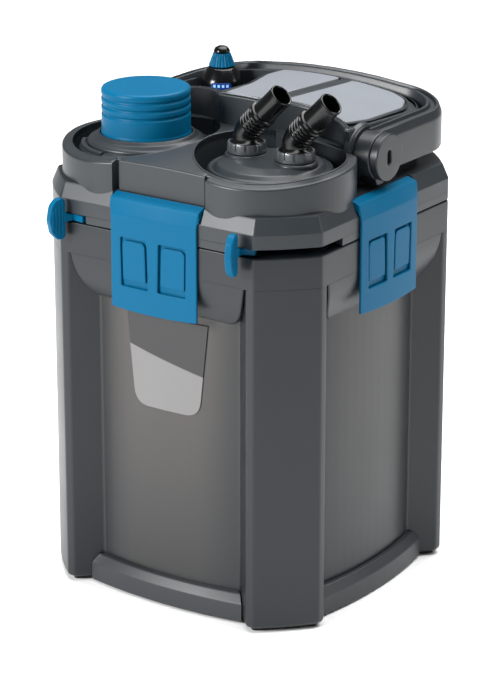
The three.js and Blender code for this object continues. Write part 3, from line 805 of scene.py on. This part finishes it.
def towers():
    plan = tower_plan()
    pockets = [circle(x, TOWER_Y, POCKET_R, 96) for x in TOWERS]
    walls = slab("towers", plan, 303, TOWER_TOP, 0.2, 1.5, holes=pockets, steps=4, hole_edge=0.3,
                 lines=mesh_lines(-120, 120, 8, -120, 8, 6), place=crown)
    floor = slab("tower_floor", shrink(plan, 2.0), 300, POCKET_Z, 0.2, 0.4,
                 holes=[circle(x, TOWER_Y, BORE_R, 72) for x in TOWERS])
    lips = []
    for x, height in ((-TOWER_X, 0.25), (TOWER_X, 0.7)):
        lips.append(slab("lip", circle(x, TOWER_Y, POCKET_R + 1.3, 96), 342,
                         TOWER_TOP + height, 0.1, 0.5, place=crown,
                         holes=[circle(x, TOWER_Y, POCKET_R, 96)]))
    return [walls, floor, *lips]


CORNER_R = 25.5  # of the plateau's rear corners
CORNER_X = PLATEAU_HALF - CORNER_R
CORNER_Y = PLATEAU_REAR - CORNER_R
DIP = turn_at(PLATEAU_FRONT - TOWER_Y, POCKET_R)  # half angle of a pocket's bite in its front
WALL = 3.5


def bite(x, start=90 + DIP, end=90 - DIP, steps=28):
    return arc(x, TOWER_Y, POCKET_R, start, end, steps)


def right_end():
    """The plateau's outline from its right pocket to the middle of its rear."""
    return [*bite(TOWER_X), (PLATEAU_HALF, PLATEAU_FRONT),
            *arc(CORNER_X, CORNER_Y, CORNER_R, 0, 90, 12)]


def plateau_plan():
    """The plateau seen from above."""
    return [(-PLATEAU_HALF, PLATEAU_FRONT), *bite(-TOWER_X), *right_end(),
            *arc(-CORNER_X, CORNER_Y, CORNER_R, 90, 180, 12)]


WELL_EDGE = [(-38.1, PLATEAU_REAR - WALL), (-37.5, 70), (-24, 30)]  # right side of the well


def plateau_parts():
    """Outlines of the plateau right of the heater's well and of the thin walls round it."""
    turn = turn_at(TOWER_X - 24, POCKET_R)
    inner = turn_at(TOWER_X - 24, POCKET_R + WALL)
    left = PLATEAU_HALF - WALL
    outer = turn_at(left - TOWER_X, POCKET_R + WALL)
    block = bite(-TOWER_X, turn, 90 - DIP, 8) + right_end()
    block += [(-38.1, PLATEAU_REAR)] + WELL_EDGE
    wall = [(-PLATEAU_HALF, 66.4), (-PLATEAU_HALF, PLATEAU_FRONT)]
    wall += bite(-TOWER_X, end=turn)
    wall += arc(-TOWER_X, TOWER_Y, POCKET_R + WALL, inner, 180 - outer, 28)
    wall += [(-left, 60)]
    rear = [(-38.1, PLATEAU_REAR - WALL), (-38.1, PLATEAU_REAR)]
    rear += arc(-CORNER_X, CORNER_Y, CORNER_R, 90, 120, 5) + [(-79, PLATEAU_REAR - WALL)]
    return block, wall, rear


def dome(v):
    """Lets a flat plate's top follow the plateau."""
    x, y, z = v
    weight = min(1.0, max(0.0, (z - 340) / 12.0))
    return (x, y, z + (plateau_height(x, y) - PLATEAU_TOP) * weight)


PANELS = {
    "left": rounded([(-15, -13), (18.5, -13), (18.5, 93.5), (-34, 93.5), (-33, 70), (-20, 30)],
                    5, 4),
    "right": rounded(
        arc(TOWER_X, TOWER_Y, POCKET_R + 4, 116, 62, 14)
        + [(86, -4), (90, 20), (88, 70), (80, 87), (66, 93.5), (30, 93.5)], 5, 4,
        keep=range(1, 14)),
}


def plateau():
    gaps = [shrink(leftward(p), -0.9) for p in PANELS.values()]
    lines = mesh_lines(-100, 100, 8, -20, 100, 20)
    block, wall, rear = plateau_parts()
    top = slab("plateau_top", block, 340, PLATEAU_TOP, 0.2, 2.0, holes=gaps, steps=4,
               lines=lines, place=dome)
    walls = [slab("plateau_wall", outline, 340, PLATEAU_TOP, 0.2, 1.0, lines=lines, place=dome)
             for outline in (wall, rear)]
    under = slab("plateau_under", shrink(block, 2.0), 338, 367.0, 0.2, 0.2,
                 lines=lines, place=dome, steps=1)
    base = slab("plateau_base", plateau_plan(), 303, 346, 0.2, 0.5,
                holes=[circle(HEATER[0], HEATER[1], 13.4, 48)])
    bead_path = [(-92, -13.5)] + arc(-TOWER_X, TOWER_Y, POCKET_R + 3.2, 90 + 41, 90 - 41, 24)
    bead_path += arc(TOWER_X, TOWER_Y, POCKET_R + 3.2, 90 + 41, 90 - 41, 24) + [(92, -13.5)]
    rings = []
    for i, (x, y) in enumerate(bead_path):
        n = sideways(bead_path, i)
        z = plateau_height(x, y)
        rings.append([(x + n.x * cos(t), y + n.y * cos(t), z - 0.2 + 0.9 * sin(t))
                      for t in turns(10)])
    bead = solid("bead", *skin(rings))
    return [top, *walls, under, base, bead]


def at_hinge(side):
    """Stands a shape on the handle's pivot, on the left (-1) or the right (1)."""
    return then(along_x, lambda v: (v[0] * side, v[1] + PIVOT[1], v[2] + PIVOT[2]))


def hinge_mounts():
    parts = []
    for side in (-1, 1):
        place = at_hinge(side)
        parts.append(lathe("shoulder", rounded(
            [(0, 93.4), (22, 93.4), (22, 94.9), (20.6, 97.9), (0, 97.9)], 1.0), 80, place))
        parts.append(lathe("boss", [(0, 94), (9, 94), (9, 112.7), (0, 112.7)], 40, place))
        parts.append(lathe("ring", rounded(
            [(15.5, 97), (19.8, 97), (19.8, 98.9), (15.5, 98.9)], 0.4, 2), 80, place))
    return parts


head = merge("head_cover", *flange(), *towers(), *plateau(), *hinge_mounts())
piece(head, "head", "housing_grey", housing, "head_housing")

for name, outline in PANELS.items():
    panel = slab(f"top_panel_{name}_cover", outline, 366.9, 369.35, 0.2, 0.7,
                 lines=mesh_lines(-40, 96, 8, -20, 100, 20), place=dome)
    piece(panel, "head", "panel_grey", pale, f"top_panel_{name}")

for node, material, slot, width in (
        ("head_base_plate", satin, "satin_black", 0.8), ("head_seal", rubber, "rubber_black", 0.8),
        ("cable_gland", rubber, "rubber_black", 0.5),
        ("motor_housing", satin, "satin_black", 0.8),
        ("volute_cover", satin, "satin_black", 0.8)):
    piece(softened(node, node + "_cover", width), "head", slot, material, node, angle=None)


# ---- heater ----
def heater_parts():
    x, y, _ = HEATER
    place = at(x, y)
    z0, z1 = heights("heater_head")
    flare = z1 - 16.2
    shape = rounded([(0, z0), (12.6, z0), (12.6, flare), (16.5, flare), (16.5, flare + 4.2),
                     (15.6, flare + 7.5), (13.2, flare + 12.0), (10.6, z1), (0, z1)], 1.6, 4,
                    keep=(0, 8))
    piece(lathe("heater_collar", shape, 96, place), "head", "gloss_black", gloss, "heater_head")
    ring = heights("heater_dial_ring")
    knurl = [(a, 0.55 if k % 4 < 2 else 0.0) for k, a in enumerate(turns(96))]
    rings = []
    for r, z in ((5.2, ring[0]), (9.5, ring[0]), (10.2, ring[0] + 0.9), (9.1, ring[0] + 3.8),
                 (7.6, ring[1] - 2.6), (6.9, ring[1] - 0.5), (6.4, ring[1]), (5.2, ring[1])):
        rings.append([place(polar(r - (dent if r > 6.5 else 0), a, z)) for a, dent in knurl])
    knob = solid("heater_knob", *skin(rings, loop=True))
    piece(knob, "heater_dial", "clip_blue", blue, "heater_dial_ring", angle=40.0)
    cap_low, cap_high = heights("heater_dial_cap")
    tip = [(0, cap_low), (4.9, cap_low), (4.9, ring[1] + 0.3), (6.4, ring[1] + 0.3),
           (6.2, ring[1] + 2.0), (5.0, ring[1] + 4.0), (2.9, cap_high - 0.4), (0, cap_high)]
    knob_cap = lathe("heater_cap", rounded(tip, 0.8, keep=(0, 7)), 64, place)
    piece(knob_cap, "heater_dial", "gloss_black", gloss, "heater_dial_cap")


def heater_display():
    """A curved display band with plain tick marks of its own; both are given a painted glow."""
    x, y, _ = HEATER
    z0, z1 = heights("heater_window")
    aim = degrees(-1.0)

    def bend(v):
        u, z, h = v
        a = radians(aim) + u / 16.5
        slope = 0.25 * max(0.0, z - (z0 + 3.0))
        r = 16.55 + h - slope * 0.35
        return (x + r * cos(a), y + r * sin(a), z)

    band = slab("heater_display", rounded([(-8, z0), (8, z0), (8, z1 - 0.6), (-8, z1 - 0.6)],
                                          2.0, 4),
                0.0, 0.25, 0.05, 0.1, lines=mesh_lines(-8, 8, 1.0), place=bend)
    # painted glow on the display band
    piece(band, "head", "display_blue",
          painted_glow("display", srgb(10, 42, 96), 0.16, 0.2, srgb(10, 70, 170), 0.3),
          "heater_window", angle=40.0)
    marks = []
    for k in range(4):
        u = -5.0 + 3.3 * k
        marks.append(slab("mark", [(u - 0.9, z0 + 1.5), (u + 0.9, z0 + 1.5),
                                   (u + 0.9, z0 + 3.6), (u - 0.9, z0 + 3.6)],
                          0.2, 0.4, 0.02, 0.05, place=bend))
    # painted glow on the tick marks
    piece(merge("heater_ticks", *marks), "head", "display_blue",
          painted_glow("display_marks", srgb(110, 165, 215), 0.3, 0.05, srgb(190, 225, 255), 0.45),
          angle=40.0)


# painted glow: moulded plastic that gives off light of its own, though the part is no lamp
def painted_glow(name, colour, roughness, shift, light, strength):
    material = moulded(name, colour, roughness, shift=shift)
    put(material.node_tree.nodes["Principled BSDF"],
        {"Emission Color": (*light, 1), "Emission Strength": strength})
    return material


heater_parts()
heater_display()


# ---- carrying handle ----
def handle_path():
    """Middle line of the handle's bar, from the left hinge round the back to the right."""
    reach = 106.0
    rear = 108.5
    radius = 35.0
    along = (0, 6, 12, 20, 30, 45, 60)
    points = [(-reach, PIVOT[1] + d) for d in along]
    points += arc(-(reach - radius), rear - radius, radius, 180, 90, 14)
    points += [(-40 + 20 * k, rear) for k in range(5)]
    points += arc(reach - radius, rear - radius, radius, 90, 0, 14)
    points += [(reach, PIVOT[1] + d) for d in reversed(along)]
    return points


HANDLE_TOP = 365.2  # at the middle; it falls a little towards the sides


def handle_bottom(y):
    if y < 14:
        return 331 - 5.5 * max(0.0, y) / 14
    if y < 26:
        return 325.5 - 1.5 * (y - 14) / 12
    return 324.0


def build_handle():
    path = handle_path()
    half = [(6.2, 0.0), (7, 0.05), (7, 0.78), (6.75, 0.85), (5.0, 0.985), (4.4, 1.0),
            (2.7, 1.0), (2.35, 0.985), (2.1, 0.945), (1.6, 0.93)]
    other = [(-w, h) for w, h in reversed(half)]
    section = other[-2:] + half + other[:-2]
    rings = []
    for i, (x, y) in enumerate(path):
        n = sideways(path, i)
        if Vector((x, y - 20)).dot(n) < 0:
            n = -n
        low = handle_bottom(y)
        rings.append([(x + n.x * w, y + n.y * w,
                       low + h * (HANDLE_TOP - 0.0009 * (x + n.x * w) ** 2 - low)) for w, h in section])
    bar = solid("bar", *skin(rings))
    eyes = []
    for side in (-1, 1):
        place = at_hinge(side)
        eyes.append(lathe("eye", rounded(
            [(9.4, 99), (16.6, 99), (17.5, 100), (17.5, 112.2), (16.8, 113), (9.4, 113)],
            0.5), 80, place))
        tab = slab("tab", rounded([(-4.5, -21.5), (4.5, -21.5), (7.5, -14), (-7.5, -14)], 1.5),
                   100, 112.4, 0.5, 0.8, place=place)
        eyes.append(tab)
    return merge("handle_bar", bar, *eyes)


piece(build_handle(), "handle", "slate_grey", slate, "carry_handle")

for name, side in (("left", -1), ("right", 1)):
    place = at_hinge(side)
    key = arc(0, 3, 2.5, 0, 180, 10) + arc(0, -3, 2.5, 180, 360, 10)
    face = slab("face", circle(0, 0, 17.3, 80), 113.4, 119.7, 0.5, 0.9, holes=[key],
                place=place)
    floor = lathe("floor", [(0, 114), (6, 114), (6, 116.4), (0, 116.4)], 40, place)
    cap = merge(f"pivot_disc_{name}", face, floor)
    piece(cap, "handle", "slate_grey", slate, f"pivot_cap_{name}")


# ---- latches ----
LATCH_HALF = 39.0
LATCH_LOW = heights("latch_front")[0]
LATCH_BOW = 1.2


def latch_face(z):
    """How far out the latch's face lies at a height."""
    steps = ((LATCH_LOW, 122.1), (LATCH_LOW + 1, 122.3), (299.5, 122.3), (311.2, 120.7))
    for (z0, a), (z1, b) in zip(steps, steps[1:]):
        if z <= z1:
            return a + (b - a) * (z - z0) / (z1 - z0)
    return steps[-1][1]


def across(v):
    """Carries an (out, height) outline along the front side."""
    return (v[2], -v[0], v[1])


def latch_bow(u):
    return LATCH_BOW * (1 - (u / LATCH_HALF) ** 2)


def latch_place(v):
    u, z, h = v
    fade = min(1.0, max(0.0, (311.0 - z) / 11.0))
    bow = latch_bow(u) * fade
    return (u * (0.97 + 0.03 * (1 - fade)), -(latch_face(z) + bow + h - 1.7), z)


def build_latch(q):
    bottom = [(LATCH_HALF * (2 * k / 12 - 1), LATCH_LOW + 0.1 + 1.5 * (2 * k / 12 - 1) ** 2)
              for k in range(13)]
    outline = bottom + [(LATCH_HALF, 310.9), (-LATCH_HALF, 310.9)]
    outline = rounded(outline, 1.2, 2, keep=range(1, 12))
    windows = [rounded([(s * 4.4, 246.6), (s * 29.2, 246.6), (s * 29.8, 283.2), (s * 5.4, 283.2)],
                       1.4) for s in (-1, 1)]
    lines = mesh_lines(-40, 40, 8) + [("y", z) for z in
                                              (298.4, 299.2, 300.0, 301.0, 304, 308)]
    sheet = slab("sheet", outline, 0, 1.7, 0.3, 0.7, holes=windows, lines=lines,
                 place=then(latch_place, quarter(q)))
    lip = slab("lip", rounded([(113.7, 309.4), (114.5, 310.4), (119.7, 304.7), (120.4, 303.4),
                               (121.3, 303.4), (120.4, 310.9), (119.6, 311.5), (114.7, 313.2),
                               (112.4, 312.5)], 0.4, 2),
               -LATCH_HALF, LATCH_HALF, 0.4, 0.4, place=then(across, quarter(q)))
    pin_place = then(along_x, at(0, -113.2, 311.4), quarter(q))
    pin = lathe("pin", rounded([(0, -38.8), (2.4, -38.8), (2.4, 38.8), (0, 38.8)], 0.4, 2), 24,
                pin_place)
    return merge(f"latch_frame_{SIDES[q]}", sheet, lip, pin)


def build_catch(q):
    """The sprung insert that shows through the latch's two windows."""
    def back(v):
        u, z, h = v
        return (u, -(HALF + 0.1 + h + latch_bow(u) * min(1.0, h / 1.2)), z)

    sheet = slab("sheet", rounded([(-31, 245.5), (31, 245.5), (31, 284.6), (-31, 284.6)],
                                  1.0, 2), 0, 0.4, 0.05, 0.1,
                 lines=mesh_lines(-32, 32, 6), place=then(back, quarter(q)))
    parts = [sheet]
    for s in (-1, 1):
        outline = [(s * 6.4, 251.8), (s * 27.2, 251.8), (s * 27.6, 279.0), (s * 25.0, 281.2),
                   (s * 9.2, 281.2), (s * 7.2, 279.0)]
        parts.append(slab("block", rounded(outline, 1.6), 0.2, 1.7, 0.1, 0.7,
                          lines=mesh_lines(-28, 28, 5),
                          place=then(back, quarter(q))))
    return merge(f"latch_insert_{SIDES[q]}", *parts)


for q, side in enumerate(SIDES):
    piece(build_latch(q), f"clip_{side}", "clip_blue", blue, f"latch_{side}")
    piece(build_catch(q), f"clip_{side}", "clip_blue", blue, f"latch_catch_{side}")


# ---- lock levers ----
def build_lever(name, tower_x, angle):
    z0, z1 = HEAD_Z + 0.5, HEAD_Z + 5.3
    place = at(tower_x, TOWER_Y, 0, angle)

    def upright(v):  # (radius, height, thickness) to (radius, side, height)
        return (v[0], v[2], v[1])

    grip = rounded([(72.6, 276), (75, 273.5), (80, 274), (84.5, 279), (86.6, 289), (84.5, 299.5),
                    (80, 304.2), (75, 304.7), (72.6, 302.5)], 1.8)
    parts = [slab("grip", grip, -2.7, 2.7, 1.0, 1.0, place=then(upright, place))]
    for r in (75.4, 78.2, 81.0, 83.6):
        reach = 12.9 - 0.045 * (r - 72) ** 2
        bar = rounded([(r - 0.65, 289.1 - reach), (r + 0.65, 289.1 - reach),
                       (r + 0.65, 289.1 + reach), (r - 0.65, 289.1 + reach)], 0.5, 2)
        parts.append(slab("rib", bar, -3.2, 3.2, 0.4, 0.4, steps=2, place=then(upright, place)))
    parts.append(slab("arm", rounded([(50, -3), (74, -3), (74, 3), (50, 3)], 0.8, 2), z0, z1,
                      0.5, 0.5, place=place))
    stub = arc(0, 0, 66.3, -1, 11, 8) + arc(0, 0, 58, 11, -1, 8)
    parts.append(slab("stub", rounded(stub, 0.8, 2), z0, z1, 0.5, 0.5, place=place))
    parts.append(lathe("ring", rounded([(47, z0), (53, z0), (53, z1), (47, z1)], 0.5, 2), 96,
                       place))
    return merge(f"lever_{name}", *parts)


for name, x, angle in (("left", -TOWER_X, 250.5), ("right", TOWER_X, 284.5)):
    lever = build_lever(name, x, angle)
    piece(lever, f"lever_{name}", "clip_blue", blue, f"lock_lever_{name}")


# ---- prefilter head and primer ----
def build_prefilter():
    place = at(PREFILTER[0], PREFILTER[1])
    off = at(PREFILTER[0] + 2.0, PREFILTER[1] - 0.6)
    core = lathe("core", rounded(
        [(6.6, 314), (6.6, 319), (34, 319), (34, 343.3), (35.4, 343.3), (37.4, 340.6),
         (42.2, 338.6), (43.5, 337.0), (43.5, 320), (43, 318.4), (43, 262), (38, 262),
         (38, 314)], 0.8), 128, place)
    disc = lathe("disc", rounded(
        [(40, 318.6), (51, 318.6), (51.4, 331), (50.4, 333.2), (47.5, 334.4), (44.6, 334.9),
         (40, 335)], 0.9), 128, off)
    ramp_plan = arc(0, 0, 49.3, 205, 262, 20) + arc(0, 0, 45.6, 262, 205, 20)
    ramps = slab("ramp", rounded(ramp_plan, 1.4, keep=range(1, 41)), 333, 336.6, 0.1, 1.1,
                 place=off)
    return merge("prefilter_top", core, disc, ramps)


piece(build_prefilter(), "prefilter", "housing_grey", housing, "prefilter_head")
nub = slab("prefilter_stop", rounded([(44, -3), (50, -3), (50, 3), (44, 3)], 1.0), 333, 341,
           0.2, 1.0, place=at(PREFILTER[0] + 1, PREFILTER[1], 0, 28))
piece(nub, "prefilter", "satin_black", satin)


def build_cap():
    top = heights("primer_button")[1]
    r = 32.8
    groove = 0.9
    outside = [(30.0, 338.2), (33.2, 338.2), (33.2, 343.6), (r, 344.8)]
    for z in (top - 18.5, top - 12.5, top - 6.5):
        outside += [(r, z - 1.5), (r - groove, z - 0.55), (r - groove, z + 0.55), (r, z + 1.5)]
    outside += [(r, top - 2.2), (r - 0.7, top - 0.7), (r - 2.4, top), (25, top), (0, top)]
    inside = [(0, 290), (5.8, 290), (5.8, 373.5), (30, 373.5)]
    profile = inside + outside
    fixed = (0, len(profile) - 1)
    return lathe("primer_cap", rounded(profile, 0.5, 2, keep=fixed), 128,
                 at(PREFILTER[0], PREFILTER[1]))


piece(build_cap(), "primer", "clip_blue", blue, "primer_button")


PRESSED = 34.5  # height of the spring's middle line with the primer pressed


def build_spring():
    """The primer's spring, drawn short enough to stay under the cap when it is pressed."""
    low = heights("primer_spring")[0]
    place = at(PREFILTER[0], PREFILTER[1])
    radius = 12.0
    wire = 0.9
    windings = 4
    steps = 24
    rise = PRESSED / (windings * steps)
    rings = [[place(polar(radius + wire * cos(b), 2 * pi * i / steps,
                          low + wire + rise * i + wire * sin(b))) for b in turns(8)]
             for i in range(windings * steps + 1)]
    return solid("primer_coil", *skin(rings))


piece(build_spring(), "prefilter", "spring_steel", steel, "primer_spring", angle=40.0)


# ---- hose connector ----
NUTS = {name: middle(f"union_nut_{name}") for name in ("inlet", "outlet")}


def build_connector():
    place = at(CONNECTOR[0], CONNECTOR[1])
    plate_part = lathe("disc", rounded(
        [(0, 318.6), (46, 318.6), (46, 330.5), (44.6, 333.4), (43, 333.9), (42, 332.8),
         (40.8, 333.3), (38, 336.4), (28, 339.2), (12, 340.4), (0, 340.6)], 0.9,
        keep=(0, 10)), 128, place)
    neck = lathe("neck", rounded([(37, 262), (41, 262), (41, 320), (37, 320)], 0.6, 2), 80, place)
    parts = [plate_part, neck]
    for x, y, _ in NUTS.values():
        parts.append(lathe("port", rounded(
            [(0, 325), (16.4, 325), (16.0, 339.4), (15.0, 340.7), (11, 340.8), (11, 348.2),
             (7, 348.2), (7, 340), (0, 340)], 0.6, keep=(0, 8)), 72, at(x, y)))
    return merge("connector_cover", *parts)


piece(build_connector(), "connector", "housing_grey", housing, "connector_plate")


def build_nut(name):
    x, y, _ = NUTS[name]
    z0, z1 = heights(f"union_nut_{name}")
    rings = []
    for r, z, notch in ((11.4, z0, 0), (13.7, z0, 0), (14.3, z0 + 0.6, 0), (14.3, z0 + 2.4, 0),
                        (14.2, z0 + 2.6, 0.9), (14.1, z1 - 1.3, 0.9), (13.6, z1, 0.9), (11.4, z1, 0)):
        rings.append([at(x, y)(polar(r - (notch if k % 10 < 3 else 0.0), a, z))
                      for k, a in enumerate(turns(120))])
    return solid(f"nut_{name}", *skin(rings, loop=True))


LEAN = pi / 4
ELBOW_Z = 356.3  # where a nozzle's upright and leaning axes meet
ELBOW_R = 13.0


def build_nozzle(name):
    """An upright elbow, a corrugated stretch and a smooth tube with an open bore."""
    x, y, _ = NUTS[name]
    side = Vector((0, 1, 0))
    start = ELBOW_R * tan(LEAN / 2)

    def ring_at(centre, lean, r):
        up = Vector((-cos(lean), 0, sin(lean)))
        return [centre + (up * cos(a) + side * sin(a)) * r for a in turns(48)]

    def bend(lean, r):
        return ring_at(Vector((x + ELBOW_R * (1 - cos(lean)), y,
                               ELBOW_Z - start + ELBOW_R * sin(lean))), lean, r)

    def ring(s, r):
        return ring_at(Vector((x + s * sin(LEAN), y, ELBOW_Z + s * cos(LEAN))), LEAN, r)

    low = heights(f"hose_nozzle_{name}")[0]
    rings = [ring_at(Vector((x, y, z)), 0, r) for r, z in (
        (12.3, low), (12.3, low + 1.0), (11.4, low + 1.5), (10.0, ELBOW_Z - start))]
    rings += [bend(LEAN * k / 6, 9.9) for k in range(1, 6)]
    rings.append(ring(start + 0.2, 9.9))
    for k in range(4):
        s = start + 0.6 + 3.0 * k
        rings += [ring(s, 9.1), ring(s + 0.5, 9.0), ring(s + 1.2, 10.0), ring(s + 2.4, 10.1)]
    rings += [ring(18.6, 9.1), ring(19.2, 10.2), ring(21.0, 10.2), ring(21.5, 8.9)]
    rings += [ring(23, 8.75), ring(40.2, 8.75), ring(40.8, 9.0), ring(42.0, 9.0), ring(42.4, 8.7),
              ring(42.6, 8.2), ring(42.3, 7.5), ring(41, 7.2), ring(12, 6.6)]
    return solid(f"nozzle_{name}", *skin(rings))


for name in NUTS:
    piece(build_nut(name), "connector", "nut_grey", nut_metal, f"union_nut_{name}", angle=40.0)
    piece(build_nozzle(name), f"nozzle_{name}", "gloss_black", gloss, f"hose_nozzle_{name}",
          angle=30.0)


# ---- parts inside, kept from the CAD ----
INSIDE = {f"media_tray_{tier}": tray_plastic for tier in ("lower", "middle", "upper")}
INSIDE |= {"prefilter_cage": tray_plastic, "pump_shaft": ceramic, "impeller": ceramic,
           "rotor_magnet": magnet, "shaft_bush": rubber, "heater_tube": ceramic}
for node, material in INSIDE.items():
    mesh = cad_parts[node].data
    mesh.materials.clear()
    mesh.materials.append(material)

foam_blue = moulded("coarse_foam_sponge", srgb(42, 111, 155), 0.9, grain=600, bump=0.9,
                    depth=0.001)
foam_orange = moulded("fine_foam_sponge", srgb(200, 112, 42), 0.9, grain=900, bump=0.9,
                      depth=0.001)
ceramic_tan = moulded("ceramic_rings", srgb(185, 167, 140), 0.85, grain=300, bump=1.0,
                      depth=0.002)
for node, material, slot, rider in (
        ("coarse_foam", foam_blue, "foam_blue", "canister"),
        ("fine_foam", foam_orange, "foam_orange", "canister"),
        ("ceramic_media", ceramic_tan, "ceramic_tan", "canister"),
        ("prefilter_foam", foam_orange, "foam_orange", "prefilter")):
    piece(softened(node, node + "_block", 2.0, 3), rider, slot, material, node, angle=None)


# ---- floor, lights and camera ----
def build_floor():
    size = 9.0
    low = cad_box[0][2]
    mesh = bpy.data.meshes.new("floor")
    mesh.from_pydata([(-size, -size, low), (size, -size, low), (size, size, low),
                      (-size, size, low)], [], [(0, 1, 2, 3)])
    mesh.materials.append(moulded("floor_paper", (0.93, 0.93, 0.93), 0.6, shift=0.01,
                                  grain=60, bump=0.02))
    add_object("floor", mesh)


build_floor()

world = bpy.data.worlds.new("studio")
world.use_nodes = True
put(world.node_tree.nodes["Background"], {"Color": (1, 1, 1, 1), "Strength": 0.16})
bpy.context.scene.world = world
bpy.context.scene.view_settings.view_transform = "Standard"


def softbox(name, place, target, size, power, tall=None):
    data = bpy.data.lights.new(name, "AREA")
    data.shape = "RECTANGLE"
    data.size = size
    data.size_y = tall or size
    data.energy = power
    lamp = add_object(name, data)
    lamp.location = place
    aim = Vector(place) - Vector(target)
    lamp.rotation_euler = aim.to_track_quat("Z", "Y").to_euler()


softbox("overhead", (0.2, 0.6, 2.6), (0, 0.1, 0), 3.0, 175)
softbox("key_left", (-0.9, -2.2, 1.2), (0, 0, 0.25), 0.8, 84)
softbox("right_rear", (1.9, 1.0, 0.9), (0.1, 0, 0.2), 0.5, 6, 1.1)

AZIMUTH = radians(34.81)
ELEVATION = radians(19.03)
CAMERA_PLACE = (1.1448, -1.6546, 0.8693)
right = Vector((cos(AZIMUTH), sin(AZIMUTH), 0))
back = Vector((sin(AZIMUTH) * cos(ELEVATION), -cos(AZIMUTH) * cos(ELEVATION), sin(ELEVATION)))
up = back.cross(right)
camera_data = bpy.data.cameras.new("camera")
camera_data.sensor_width = 36.0
camera_data.lens = 148.503
camera_data.clip_end = 50.0
camera = add_object("camera", camera_data)
camera.matrix_world = Matrix((*zip(right, up, back, CAMERA_PLACE), (0, 0, 0, 1)))
bpy.context.scene.camera = camera
